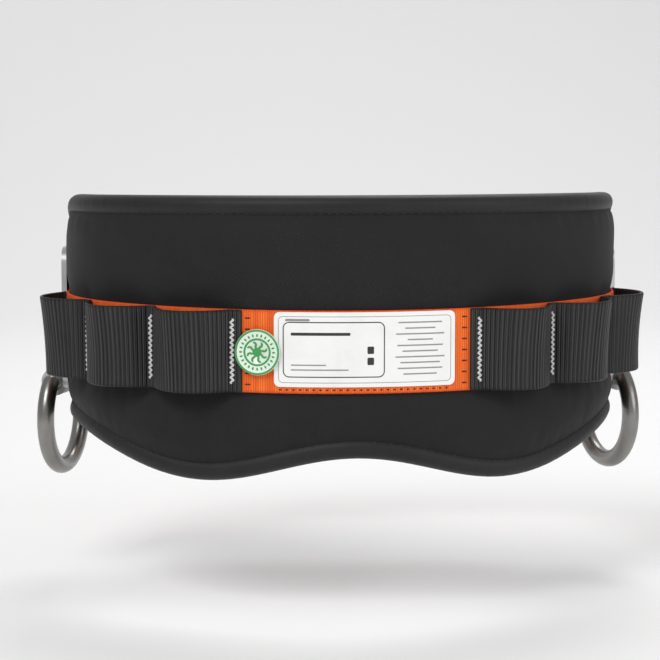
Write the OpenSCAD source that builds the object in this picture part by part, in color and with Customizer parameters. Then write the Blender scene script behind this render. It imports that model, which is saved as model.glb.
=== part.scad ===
// Padded work-positioning belt, worn closed round a waist.
// Z is up and z = 0 is the middle of the webbing. The middle of the back faces -Y and
// the buckle is at +Y. Places on the belt are given as [s, u]: s runs along the outside
// of the pad from the middle of the back, u is the distance outside that surface.

/* [Belt] */
// Width across the sides, measured outside the pad
belt_w = 314; // [300:2:380]
// Depth from the pad's back to the line of the front webbing
belt_depth = 206; // [196:2:250]
// Radius of each side bend
side_r = 88; // [80:1:94]

/* [Pad] */
// Length of the pad each way from the middle of the back
pad_reach = 300; // [288:1:312]
// Height of the top edge above the webbing's middle, at the back
pad_top = 82.5; // [70:0.5:100]
// Fall of the top edge along the back, before it turns down
pad_top_slope = 9.8; // [0:0.1:14]
// Fall of the top edge round the sides
pad_top_fall = 36; // [20:1:38]
// Distance from the middle of the back to where the top edge turns down
top_reach = 195; // [150:1:220]
// Depth of the bottom edge below the webbing's middle, at the back
pad_bottom = 57.4; // [48:0.2:70]
// How much deeper the two lobes of the bottom edge reach
lobe_drop = 14.2; // [0:0.1:20]
// Distance from the middle of the back to each lobe
lobe_reach = 89; // [70:1:110]
// Depth of the bottom edge at the sides
side_bottom = 50; // [44:1:60]
// Depth of the bottom edge at the pad's ends
end_bottom = 33; // [30:1:40]
// Corner radius of the pad's ends
end_r = 17; // [10:1:18]
// Thickness of the foam
foam_t = 9.4; // [6:0.2:14]
// Thickness of the cover and of the lining
skin_t = 1; // [0.8:0.1:1.6]
// Thickness of the binding tape
tape_t = 1; // [0.8:0.1:1.2]
// Width of the binding tape on each face
tape_w = 9; // [7:0.5:11]

/* [Webbing] */
// Width of the waist webbing and of the tool loops
web_w = 45; // [38:0.5:50]
// Thickness of the waist webbing
web_t = 2; // [1.6:0.1:2.4]
// Where the free tail ends, along the belt
tail_end = 318; // [306:1:330]
// Length of the folded tail end
tail_fold_l = 20; // [14:1:26]
// Height of a bartack
tack_h = 36; // [24:1:42]
// Width of a bartack
tack_w = 3; // [2:0.2:4]

/* [Tool loops] */
// Thickness of the loop strip
strip_t = 1.8; // [1.4:0.1:2.2]
// Where the first loop is tacked, along the belt
loop_start = 67; // [64:1:76]
// Distance from one tack to the next
loop_pitch = 48.8; // [40:0.2:49]
// Number of loops on each side
loop_count = 3; // [1:1:3]
// How far each loop stands out
loop_bulge = 14.5; // [10:0.5:22]
// Length of strip that lies flat at each tack
tack_flat = 5; // [4:0.5:7]

/* [Label and badge] */
// Length of the label
label_l = 97.5; // [60:0.5:98]
// Height of the label
label_h = 40.5; // [25:0.5:42]
// How far the label's middle lies beside the middle of the back
label_s = 4.3; // [0:0.1:4.5]
// Thickness of the label
label_t = 0.5; // [0.3:0.1:0.8]
// Radius of the round badge
badge_r = 12.5; // [8:0.5:14]
// Where the badge's middle lies, left of the middle of the back
badge_s = 53; // [52:0.5:56]

/* [Side plates] */
// Where each plate's middle lies, along the belt
plate_s = 244; // [243:1:252]
// Width of a plate along the belt
plate_w = 50; // [46:1:54]
// Height of a plate's top edge
plate_top = 47; // [38:1:56]
// Depth of a plate's bottom edge
plate_bottom = 36; // [34:1:40]
// Thickness of a plate
plate_t = 3; // [2:0.2:3.6]
// Width of the bar that the webbing passes over
plate_bar = 16; // [12:1:18]
// Width of each webbing slot
plate_slot = 7; // [6.6:0.2:8]
// Corner radius of a plate
plate_r = 9; // [4:1:12]

/* [D-rings] */
// Diameter of the ring's bar
ring_d = 10; // [8:0.5:11]
// Half length of the ring's straight side
ring_half = 21; // [18:0.5:24]
// Radius of the ring's bow, at the middle of its bar
ring_r = 30; // [28:0.5:36]
// How much thicker than its bar the ring is at its two corners
corner_swell = 0.1; // [0.05:0.05:0.4]
// Wall of the hinge barrel
barrel_wall = 3; // [2.5:0.1:3.5]
// Length of the hinge barrel
barrel_l = 30; // [20:1:34]

/* [Buckle] */
// Length of the buckle frame along the belt
frame_l = 58; // [56:1:64]
// How far the frame's middle lies beside the middle of the front
frame_off = 19; // [17:1:21]
// Thickness of the frame
frame_t = 4; // [3.4:0.1:4.4]
// Width of the frame's end bars and rails
frame_bar = 8; // [6:0.5:9]
// Width of the slot for the sewn strap
sewn_slot = 9; // [8.5:0.5:10]
// Width of the bar between slot and window
frame_mid = 6; // [4:0.5:7]
// Travel of the friction bar
bar_travel = 5; // [3:0.5:6]
// Length of each collar that guides the friction bar
collar_l = 6; // [5:0.5:7]
// Wall of each collar
collar_wall = 1.55; // [1.2:0.05:2]

/* [Keepers] */
// Width of an elastic keeper
keeper_w = 12; // [8:1:13]
// Thickness of an elastic keeper
keeper_t = 1.5; // [1:0.1:1.8]
// Where the first keeper lies, beside the middle of the front
keeper_1 = 38; // [36:1:39]
// Where the second keeper lies, beside the middle of the front
keeper_2 = 60; // [60:1:62]

/* [Clearances] */
// Gap between two layers
gap = 0.3; // [0.2:0.05:0.35]
// Gap between stitching and the layer below it
thread_gap = 0.2; // [0.1:0.05:0.3]
// Running clearance of a ring's bar in its barrel, on radius
bore_gap = 0.08; // [0.04:0.01:0.1]
// Running clearance of a collar on its rail
rail_gap = 0.15; // [0.1:0.05:0.3]
// Room above and below the webbing where it passes through metal
edge_room = 1; // [0.8:0.1:1.5]
// Room above and below the webbing inside a keeper
keeper_room = 0.4; // [0.3:0.1:0.8]

/* [Hidden] */

// Line of the belt, seen from above: a back arc, two side arcs and a straight front
side_x = belt_w / 2 - side_r;
back_d = belt_depth - side_r;
back_r = (side_x * side_x + back_d * back_d - side_r * side_r) / (2 * (back_d - side_r));
back_turn = asin(side_x / (back_r - side_r));
back_l = back_r * back_turn * PI / 180;
side_l = side_r * (180 - back_turn) * PI / 180;
half_l = back_l + side_l + side_x;

// Distances outside the pad's cover at which the layers' middles lie
web_u = gap + web_t / 2;
over_u = web_u + web_t + gap;
skin_u = web_u + web_t / 2;
strip_u = skin_u + gap + strip_t / 2;
plate_u = skin_u + gap;
plate_over_u = plate_u + plate_t + gap + web_t / 2;
tape_room = tape_t + gap;
pad_t = foam_t + 2 * (skin_t + gap);

// Hinge of the D-rings
barrel_r = ring_d / 2 + bore_gap + barrel_wall;
ring_u = plate_u + barrel_r + plate_t / 5;
ring_z = -(web_w / 2 + edge_room + barrel_r + gap * 5);
ring_turn = asin(ring_half / ring_r);

// Buckle, placed by x along the straight front
turn_r = frame_t / 2 + gap + web_t / 2;
buckle_u = web_u + 1 + turn_r;
frame_x0 = -frame_off - frame_l / 2;
frame_x1 = frame_x0 + frame_l;
window_x0 = frame_x0 + frame_bar + sewn_slot + frame_mid;
window_x1 = frame_x1 - frame_bar;
window_h = web_w + 2 * (edge_room + collar_wall);
bar_x = window_x1 - collar_l / 2 - 1;
wrap_x = bar_x - bar_travel;
frame_h = window_h + 2 * frame_bar;
lead_l = 15;

CLOTH_STEP = 6;
FINE_STEP = 1.5;
TURN_STEPS = 12;
LOOP_STEPS = 14;
CORNER_STEPS = 12;

function ease(t) = (1 - cos(180 * min(max(t, 0), 1))) / 2;
function side(s) = s < 0 ? -1 : 1;

// Turn of the belt's line at s, from the middle of the back
function turn_at(s) =
    let (a = abs(s))
    a < back_l ? a / back_r * 180 / PI
    : a < back_l + side_l ? back_turn + (a - back_l) / side_r * 180 / PI
    : 180;

// The point at s, moved u outwards from the pad's surface
function belt_xy(s, u) =
    let (a = abs(s), t = turn_at(s))
    a < back_l ? [side(s) * (back_r + u) * sin(t), back_r - back_d - (back_r + u) * cos(t)]
    : a < back_l + side_l ? [side(s) * (side_x + (side_r + u) * sin(t)), -(side_r + u) * cos(t)]
    : [side(s) * (half_l - a), side_r + u];

// Values from a to b, no further than d apart, without b itself
function steps(a, b, d) =
    let (n = max(1, ceil(abs(b - a) / d)))
    [for (i = [0:n - 1]) a + (b - a) * i / n];

// Outline of a strip t thick whose middle follows path, a list of [s, u]
function strip_outline(path, t) =
    let (
        p = [for (q = path) belt_xy(q[0], q[1])],
        last = len(p) - 1,
        heading = [for (i = [0:last - 1]) let (d = p[i + 1] - p[i]) d / norm(d)],
        mean = [for (i = [0:last]) heading[max(0, i - 1)] + heading[min(last - 1, i)]],
        half = [for (m = mean) [-m[1], m[0]] * t / (m * m)]
    )
    concat([for (i = [0:last]) p[i] + half[i]], [for (i = [last:-1:0]) p[i] - half[i]]);

// A strip of cloth, w high about z
module strip(path, t, w, z = 0) {
    translate([0, 0, z - w / 2])
        linear_extrude(w)
            polygon(strip_outline(path, t));
}

// A flat layer from s0 to s1 that follows the belt
module layer(s0, s1, u, t, w, z = 0) {
    strip([for (s = concat(steps(s0, s1, CLOTH_STEP), [s1])) [s, u]], t, w, z);
}

// Puts children at s and u: local X runs along the belt and local Y points at the wearer
module at_belt(s, u, z = 0) {
    p = belt_xy(s, u);
    translate([p[0], p[1], z])
        rotate([0, 0, side(s) * turn_at(s)])
            children();
}

module mirrored() {
    mirror([1, 0, 0])
        children();
}

// Solid through a row of rings of points, closed on itself or capped at both ends
module skin(rings, loop = false) {
    n = len(rings[0]);
    m = len(rings);
    walls = [
        for (i = [0:m - (loop ? 1 : 2)], j = [0:n - 1])
            let (a = i * n + j, b = i * n + (j + 1) % n, next = ((i + 1) % m) * n)
            each [[a, b, next + (j + 1) % n], [a, next + (j + 1) % n, next + j]]
    ];
    half = n / 2 - 2;
    far = (m - 1) * n;
    caps = loop ? [] : [
        for (j = [0:half])
            let (a = j, b = j + 1, c = n - 2 - j, d = n - 1 - j)
            each [[c, b, a], [d, c, a], [far + a, far + b, far + c], [far + a, far + c, far + d]]
    ];
    polyhedron([for (r = rings) each r], concat(walls, caps));
}

// A rectangle with round corners, about the origin
module round_rect(w, h, r) {
    square([w - 2 * r, h], center = true);
    square([w, h - 2 * r], center = true);
    for (x = [-1, 1], y = [-1, 1])
        translate([x * (w / 2 - r), y * (h / 2 - r)])
            circle(r, $fn = 48);
}

// Pad

SIDE_REACH = 205;
TAPER_REACH = 235;

function end_round(s) =
    let (d = min(max(end_r - (pad_reach - abs(s)), 0), end_r))
    end_r - sqrt(end_r * end_r - d * d);
function pad_z_top(s) =
    pad_top - pad_top_slope * pow(s / pad_reach, 2)
    - pad_top_fall * ease((abs(s) - top_reach) / (pad_reach - top_reach)) - end_round(s);
function pad_z_bottom(s) =
    -pad_bottom - lobe_drop * ease(abs(s) / lobe_reach)
    + (pad_bottom + lobe_drop - side_bottom)
        * ease((abs(s) - lobe_reach) / (SIDE_REACH - lobe_reach))
    + (side_bottom - end_bottom) * ease((abs(s) - TAPER_REACH) / (pad_reach - TAPER_REACH))
    + end_round(s);

// Places along the pad, closer together near its ends
function pad_stations() =
    let (
        inner = pad_reach - end_r - 3,
        half = concat(steps(0, inner, 8), steps(inner, pad_reach, 2), [pad_reach])
    )
    concat([for (i = [len(half) - 1:-1:1]) -half[i]], half);

// Section of a pad layer between u0 and u1. Near the edge the faces step in under the
// binding tape: k0 and k1 say which way each face moves.
function pad_section(s, u0, u1, k0, k1) =
    let (
        top = pad_z_top(s),
        bottom = pad_z_bottom(s),
        lip = tape_w + 1.5,
        full = lip + 3,
        d = tape_room,
        e = min(max((abs(s) - pad_reach + lip + 7) / 3, 0), 1) * d,
        face = function (u, k) [
            [u + k * d, top], [u + k * d, top - lip], [u + k * e, top - full],
            [u + k * e, bottom + full], [u + k * d, bottom + lip], [u + k * d, bottom]
        ],
        outer = face(u1, k1),
        inner = face(u0, k0)
    )
    [
        for (q = concat(outer, [for (i = [5:-1:0]) inner[i]]))
            let (p = belt_xy(s, q[0])) [p[0], p[1], q[1]]
    ];

module pad_layer(u0, u1, k0, k1) {
    skin([for (s = pad_stations()) pad_section(s, u0, u1, k0, k1)]);
}

module pad_foam() {
    color("dimgray")
        pad_layer(-skin_t - gap - foam_t, -skin_t - gap, 1, -1);
}

module pad_cover() {
    color("#222222")
        pad_layer(-skin_t, 0, -1, -1);
}

module pad_lining() {
    color("#303030")
        pad_layer(-pad_t, -pad_t + skin_t, 1, 1);
}

// Tape folded over the edge, right round the pad
function tape_path() =
    let (st = pad_stations(), ends = steps(pad_z_bottom(pad_reach), pad_z_top(pad_reach), 6))
    concat(
        [for (s = st) [s, pad_z_top(s)]],
        [for (i = [len(ends) - 1:-1:1]) [pad_reach, ends[i]]],
        [for (i = [len(st) - 1:-1:0]) [st[i], pad_z_bottom(st[i])]],
        [for (i = [1:len(ends) - 1]) [-pad_reach, ends[i]]]
    );

module pad_binding() {
    path = tape_path();
    n = len(path);
    rings = [
        for (i = [0:n - 1])
            let (
                ahead = path[(i + 1) % n] - path[i],
                behind = path[i] - path[(i + n - 1) % n],
                mean = ahead / norm(ahead) + behind / norm(behind),
                out = [-mean[1], mean[0]] / norm(mean),
                place = function (d, u)
                    let (q = path[i] + out * d, p = belt_xy(q[0], u)) [p[0], p[1], q[1]]
            )
            [
                place(tape_room, 0), place(-tape_w, 0), place(-tape_w, -tape_t),
                place(gap, -tape_t), place(gap, -pad_t + tape_t),
                place(-tape_w, -pad_t + tape_t), place(-tape_w, -pad_t),
                place(tape_room, -pad_t)
            ]
    ];
    color("#181818")
        skin(rings, loop = true);
}

// Webbing

slot_s0 = plate_s - plate_bar / 2 - plate_slot - 0.5;
slot_s1 = plate_s + plate_bar / 2 - 0.5;
ramp_l = plate_slot + 1;

// Distance of the waist webbing's middle from the pad: it rises over each plate's bar
function waist_u(s) =
    web_u + (plate_over_u - web_u)
        * (ease((abs(s) - slot_s0) / ramp_l) - ease((abs(s) - slot_s1) / ramp_l));

// Half turn about a bar at x, from the pad's side outwards
function wrap(x, way) = [
    for (i = [0:TURN_STEPS])
        let (t = 180 * i / TURN_STEPS) [x + way * turn_r * sin(t), buckle_u - turn_r * cos(t)]
];

// Run between x0 and x1 on the front, easing from u0 to u1
function run(x0, x1, u0, u1) = [
    for (i = [0:8]) [x0 + (x1 - x0) * i / 8, u0 + (u1 - u0) * ease(i / 8)]
];

function on_right(points) = [for (q = points) [half_l - q[0], q[1]]];
function on_left(points) = [for (q = points) [-half_l - q[0], q[1]]];
function reversed(a) = [for (i = [len(a) - 1:-1:0]) a[i]];

lower_u = buckle_u - turn_r;
upper_u = buckle_u + turn_r;
left_turn_x = frame_x0 + frame_bar;
right_lead = frame_x1 + 2;
left_lead = frame_x0 - 2;
lap_end = tail_end + 4;

function right_end() = concat(
    on_right(run(right_lead + lead_l, right_lead, web_u, lower_u)),
    on_right(wrap(wrap_x, -1)),
    on_right(run(right_lead, right_lead + lead_l, upper_u, over_u)),
    [for (s = steps(half_l - right_lead - lead_l - 2, tail_end, CLOTH_STEP)) [s, over_u]],
    [[tail_end, over_u]]
);

function left_end() = concat(
    on_left(run(left_lead - lead_l, left_lead, web_u, lower_u)),
    on_left(wrap(left_turn_x, 1)),
    on_left(run(left_lead, left_lead - lead_l, upper_u, over_u)),
    [for (s = steps(-half_l - left_lead + lead_l + 2, -lap_end, CLOTH_STEP)) [s, over_u]],
    [[-lap_end, over_u]]
);

module belt_webbing() {
    bend0 = slot_s0 - 1;
    bend1 = slot_s1 + ramp_l + 1;
    left_s = -half_l - left_lead + lead_l + 2;
    right_s = half_l - right_lead - lead_l - 2;
    places = concat(
        steps(left_s, -bend1, CLOTH_STEP),
        steps(-bend1, -bend0, FINE_STEP),
        steps(-bend0, bend0, CLOTH_STEP),
        steps(bend0, bend1, FINE_STEP),
        steps(bend1, right_s, CLOTH_STEP)
    );
    path = concat(reversed(left_end()), [for (s = places) [s, waist_u(s)]], right_end());
    color("orangered")
        strip(path, web_t, web_w);
}

thread_t = 0.5;
dash_l = 4;
dash_w = 1;
stitch_s = (loop_start + label_s + label_l / 2) / 2 - 1;

// Two rows of long stitches that hold the webbing on the pad
module belt_stitching() {
    u = skin_u + thread_gap + thread_t / 2;
    color("#30180c")
        for (w = [-1, 1], z = [-18, -12, 0, 12, 18])
            layer(w * stitch_s - dash_w / 2, w * stitch_s + dash_w / 2, u, thread_t, dash_l, z);
}

module lap_bartacks() {
    u = over_u + web_t / 2 + thread_gap + thread_t / 2;
    color("black")
        for (s = [lap_end + 6, lap_end + 22])
            layer(-s - tack_w / 2, -s + tack_w / 2, u, thread_t, tack_h);
}

// End of the free tail, folded back on itself
module tail_fold() {
    u = over_u + web_t + gap;
    color("orangered")
        layer(tail_end, tail_end + tail_fold_l, u, web_t, web_w);
}

module label() {
    color("whitesmoke")
        layer(label_s - label_l / 2, label_s + label_l / 2, skin_u + gap + label_t / 2,
            label_t, label_h, 1.5);
}

// Disc on a short foot: the disc lies over the label's edge and the end of the strip
module round_badge() {
    base_u = skin_u + gap;
    disc_u = base_u + strip_t + gap;
    disc_t = 0.8;
    foot_s0 = label_s - label_l / 2 - gap;
    foot_l = 9;
    color("palegreen") {
        intersection() {
            layer(-badge_s - badge_r - 1, -badge_s + badge_r + 1, disc_u + disc_t / 2, disc_t,
                2 * badge_r + 2);
            at_belt(-badge_s, 0)
                rotate([90, 0, 0])
                    cylinder(r = badge_r, h = 20, $fn = 96);
        }
        layer(foot_s0 - foot_l, foot_s0, (base_u + disc_u + disc_t / 2) / 2,
            disc_u + disc_t / 2 - base_u, 14);
    }
}

// Tool loops

function tack_s(i) = loop_start + i * loop_pitch;
function loop_path() = concat(
    [[tack_s(0) - tack_flat, strip_u]],
    [
        for (i = [0:loop_count - 1])
            let (a = tack_s(i) + tack_flat / 2, b = tack_s(i + 1) - tack_flat / 2)
            each [
                for (j = [0:LOOP_STEPS])
                    let (t = j / LOOP_STEPS)
                    [a + (b - a) * t, strip_u + loop_bulge * pow(abs(sin(180 * t)), 0.85)]
            ]
    ],
    [[tack_s(loop_count) + tack_flat / 2, strip_u]]
);

module tool_loops() {
    color("#262626")
        strip(loop_path(), strip_t, web_w);
}

module tool_loops_right() {
    tool_loops();
}

module tool_loops_left() {
    mirrored()
        tool_loops();
}

module loop_bartacks() {
    u = strip_u + strip_t / 2 + thread_gap + thread_t / 2;
    color("white")
        for (i = [0:loop_count])
            layer(tack_s(i) - tack_w / 2, tack_s(i) + tack_w / 2, u, thread_t, tack_h);
}

module loop_bartacks_right() {
    loop_bartacks();
}

module loop_bartacks_left() {
    mirrored()
        loop_bartacks();
}

// Side plates and D-rings

// Ring between two offsets from the side bend
module side_shell(u0, u1, z0, z1) {
    translate([side_x, 0, z0])
        difference() {
            cylinder(r = side_r + u1, h = z1 - z0, $fn = 180);
            translate([0, 0, -1])
                cylinder(r = side_r + u0, h = z1 - z0 + 2, $fn = 180);
        }
}

// What rounds a slab's four corners: the slab is w by h, facing Y
module corner_cuts(w, h, r) {
    arc = [for (i = [0:CORNER_STEPS]) let (t = 90 * i / CORNER_STEPS) r * [sin(t), cos(t)]];
    for (x = [-1, 1], z = [-1, 1])
        translate([x * (w / 2 - r), 0, z * (h / 2 - r)])
            rotate([90, 0, 0])
                translate([0, 0, -30])
                    linear_extrude(60)
                        polygon([
                            for (q = concat([[2 * r, 0], [2 * r, 2 * r], [0, 2 * r]], arc))
                                [x * q[0], z * q[1]]
                        ]);
}

module side_plate() {
    plate_h = plate_top + plate_bottom;
    mid_z = (plate_top - plate_bottom) / 2;
    slot_h = web_w + 2 * edge_room;
    slot_mid = (plate_bar + plate_slot) / 2;
    color("silver")
        difference() {
            union() {
                difference() {
                    intersection() {
                        side_shell(plate_u, plate_u + plate_t, -plate_bottom, plate_top);
                        at_belt(plate_s, 0, mid_z)
                            cube([plate_w, 60, plate_h], center = true);
                    }
                    at_belt(plate_s, 0, mid_z)
                        corner_cuts(plate_w, plate_h, plate_r);
                }
                at_belt(plate_s, ring_u, ring_z)
                    rotate([0, 90, 0])
                        cylinder(r = barrel_r, h = barrel_l, center = true, $fn = 96);
            }
            for (w = [-1, 1])
                at_belt(plate_s + w * slot_mid, plate_u + plate_t / 2)
                    cube([plate_slot, 3 * plate_t, slot_h], center = true);
            at_belt(plate_s, ring_u, ring_z)
                rotate([0, 90, 0])
                    cylinder(d = ring_d + 2 * bore_gap, h = barrel_l + 20, center = true,
                        $fn = 96);
        }
}

module side_plate_right() {
    side_plate();
}

module side_plate_left() {
    mirrored()
        side_plate();
}

// Straight bar, two rounded corners and a bow that hangs below them
module d_ring() {
    color("gainsboro")
        at_belt(plate_s, ring_u, ring_z) {
            rotate([0, 90, 0])
                cylinder(d = ring_d, h = 2 * ring_half, center = true, $fn = 48);
            for (w = [-1, 1])
                translate([w * ring_half, 0, 0])
                    sphere(d = ring_d + corner_swell, $fn = 48);
            translate([0, 0, -ring_r * cos(ring_turn)])
                rotate([90, 0, 0])
                    rotate([0, 0, 90 + ring_turn])
                        rotate_extrude(angle = 360 - 2 * ring_turn, $fn = 120)
                            translate([ring_r, 0])
                                circle(d = ring_d, $fn = 48);
        }
}

module d_ring_right() {
    d_ring();
}

module d_ring_left() {
    mirrored()
        d_ring();
}

// Buckle

module front_slab(x0, x1, u, t, h) {
    translate([(x0 + x1) / 2, side_r + u, 0])
        cube([x1 - x0, t, h], center = true);
}

module buckle_frame() {
    color("silver")
        difference() {
            translate([(frame_x0 + frame_x1) / 2, side_r + buckle_u + frame_t / 2, 0])
                rotate([90, 0, 0])
                    linear_extrude(frame_t)
                        round_rect(frame_l, frame_h, frame_bar - 1);
            front_slab(window_x0, window_x1, buckle_u, frame_t + 2, window_h);
            front_slab(left_turn_x, left_turn_x + sewn_slot, buckle_u, frame_t + 2,
                web_w + 2 * edge_room);
        }
}

module collar() {
    rail_z = (window_h + frame_bar) / 2;
    hole_t = frame_t + 2 * rail_gap;
    hole_h = frame_bar + 2 * rail_gap;
    translate([bar_x, side_r + buckle_u, rail_z])
        difference() {
            cube([collar_l, hole_t + 2 * collar_wall, hole_h + 2 * collar_wall], center = true);
            cube([collar_l + 2, hole_t, hole_h], center = true);
        }
}

// Friction bar with a collar round each rail
module buckle_bar() {
    bar_l = window_h - collar_wall;
    color("gray")
        union() {
            translate([bar_x, side_r + buckle_u, 0])
                cylinder(d = frame_t, h = bar_l, center = true, $fn = 48);
            collar();
            mirror([0, 0, 1])
                collar();
        }
}

// Keepers

module keeper(x) {
    u0 = 0;
    u1 = over_u + web_t / 2 + gap;
    h = web_w + 2 * keeper_room;
    color("#202020")
        difference() {
            front_slab(x - keeper_w / 2, x + keeper_w / 2, (u0 + u1) / 2,
                u1 - u0 + 2 * keeper_t, h + 2 * keeper_t);
            front_slab(x - keeper_w / 2 - 1, x + keeper_w / 2 + 1, (u0 + u1) / 2, u1 - u0, h);
        }
}

module keeper_near() {
    keeper(keeper_1);
}

module keeper_far() {
    keeper(keeper_2);
}

pad_foam();
pad_cover();
pad_lining();
pad_binding();
belt_webbing();
belt_stitching();
label();
round_badge();
tool_loops_left();
tool_loops_right();
loop_bartacks_left();
loop_bartacks_right();
side_plate_left();
side_plate_right();
d_ring_left();
d_ring_right();
buckle_frame();
buckle_bar();
keeper_near();
keeper_far();
tail_fold();
lap_bartacks();
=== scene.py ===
"""Looks of a padded work-positioning belt: foam pad, webbing, tool loops, rings and buckle.

Lengths are in metres. A place on the belt is (s, u, z): s runs along the outside of the pad
from the middle of the back, u is the distance outside that surface, and z is the height.
"""

from __future__ import annotations

import logging
import math
from dataclasses import dataclass, field
from enum import Enum
from typing import Callable, Sequence

import bmesh
import bpy
import numpy as np
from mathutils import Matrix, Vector


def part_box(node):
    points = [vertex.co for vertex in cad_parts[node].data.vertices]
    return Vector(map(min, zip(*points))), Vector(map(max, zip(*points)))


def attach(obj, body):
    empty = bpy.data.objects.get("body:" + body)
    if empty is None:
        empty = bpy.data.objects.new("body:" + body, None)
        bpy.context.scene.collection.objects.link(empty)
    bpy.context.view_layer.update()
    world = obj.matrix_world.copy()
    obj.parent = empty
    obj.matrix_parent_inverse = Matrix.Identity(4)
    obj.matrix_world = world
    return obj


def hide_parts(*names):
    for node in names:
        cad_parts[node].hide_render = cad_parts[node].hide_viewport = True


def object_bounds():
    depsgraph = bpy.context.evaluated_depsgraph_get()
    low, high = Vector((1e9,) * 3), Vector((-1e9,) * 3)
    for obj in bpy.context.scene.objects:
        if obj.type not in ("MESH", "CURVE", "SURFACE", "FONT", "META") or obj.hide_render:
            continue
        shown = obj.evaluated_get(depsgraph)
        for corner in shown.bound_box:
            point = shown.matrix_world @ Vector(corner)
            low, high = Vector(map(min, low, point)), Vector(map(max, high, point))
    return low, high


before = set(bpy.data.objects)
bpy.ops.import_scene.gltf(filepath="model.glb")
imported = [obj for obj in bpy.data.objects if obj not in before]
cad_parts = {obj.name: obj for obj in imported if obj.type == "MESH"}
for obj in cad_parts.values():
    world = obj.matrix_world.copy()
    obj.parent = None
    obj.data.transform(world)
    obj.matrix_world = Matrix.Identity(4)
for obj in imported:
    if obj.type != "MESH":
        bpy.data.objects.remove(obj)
CAD_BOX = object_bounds()

LOG = logging.getLogger("belt")
MM = 0.001
Array = np.ndarray


def srgb(hex_code: str) -> tuple[float, float, float, float]:
    """Linear RGBA for a hex colour as it looks on screen.

    Args:
        hex_code: six hex digits, with or without a leading hash.

    Returns:
        Four numbers from 0 to 1.
    """
    digits = hex_code.lstrip("#")
    levels = [int(digits[i:i + 2], 16) / 255 for i in (0, 2, 4)]
    linear = [v / 12.92 if v <= 0.04045 else ((v + 0.055) / 1.055) ** 2.4 for v in levels]
    return (linear[0], linear[1], linear[2], 1.0)


# ---------------------------------------------------------------- shader expressions


class Sock:
    """A shader socket that adds Math nodes when it is used in an expression."""

    def __init__(self, graph: Graph, socket: bpy.types.NodeSocket) -> None:
        """Wraps one output socket of a graph.

        Args:
            graph: the material's graph.
            socket: the output.
        """
        self.graph = graph
        self.socket = socket

    def _math(self, operation: str, *others: Sock | float) -> Sock:
        """A Math node fed by this socket and the others."""
        return self.graph.node("ShaderNodeMath", {"operation": operation},
                               dict(enumerate([self, *others])))

    def __add__(self, other: Sock | float) -> Sock:
        """self + other"""
        return self._math("ADD", other)

    def __sub__(self, other: Sock | float) -> Sock:
        """self - other"""
        return self._math("SUBTRACT", other)

    def __rsub__(self, other: float) -> Sock:
        """other - self"""
        return self * -1.0 + other

    def __mul__(self, other: Sock | float) -> Sock:
        """self * other"""
        return self._math("MULTIPLY", other)

    def __rmul__(self, other: float) -> Sock:
        """other * self"""
        return self * other

    def __truediv__(self, other: Sock | float) -> Sock:
        """self / other"""
        return self._math("DIVIDE", other)

    def sin(self) -> Sock:
        """Sine of the value."""
        return self._math("SINE")

    def abs(self) -> Sock:
        """Value without its sign."""
        return self._math("ABSOLUTE")

    def floor(self) -> Sock:
        """Whole part of the value."""
        return self._math("FLOOR")

    def power(self, exponent: float) -> Sock:
        """Value raised to an exponent."""
        return self._math("POWER", exponent)

    def ramp(self, low: float, high: float) -> Sock:
        """0 under low, 1 over high and a smooth rise between."""
        return self.graph.node("ShaderNodeMapRange",
                               {"interpolation_type": "SMOOTHSTEP", "clamp": True},
                               {"Value": self, "From Min": low, "From Max": high})


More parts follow.
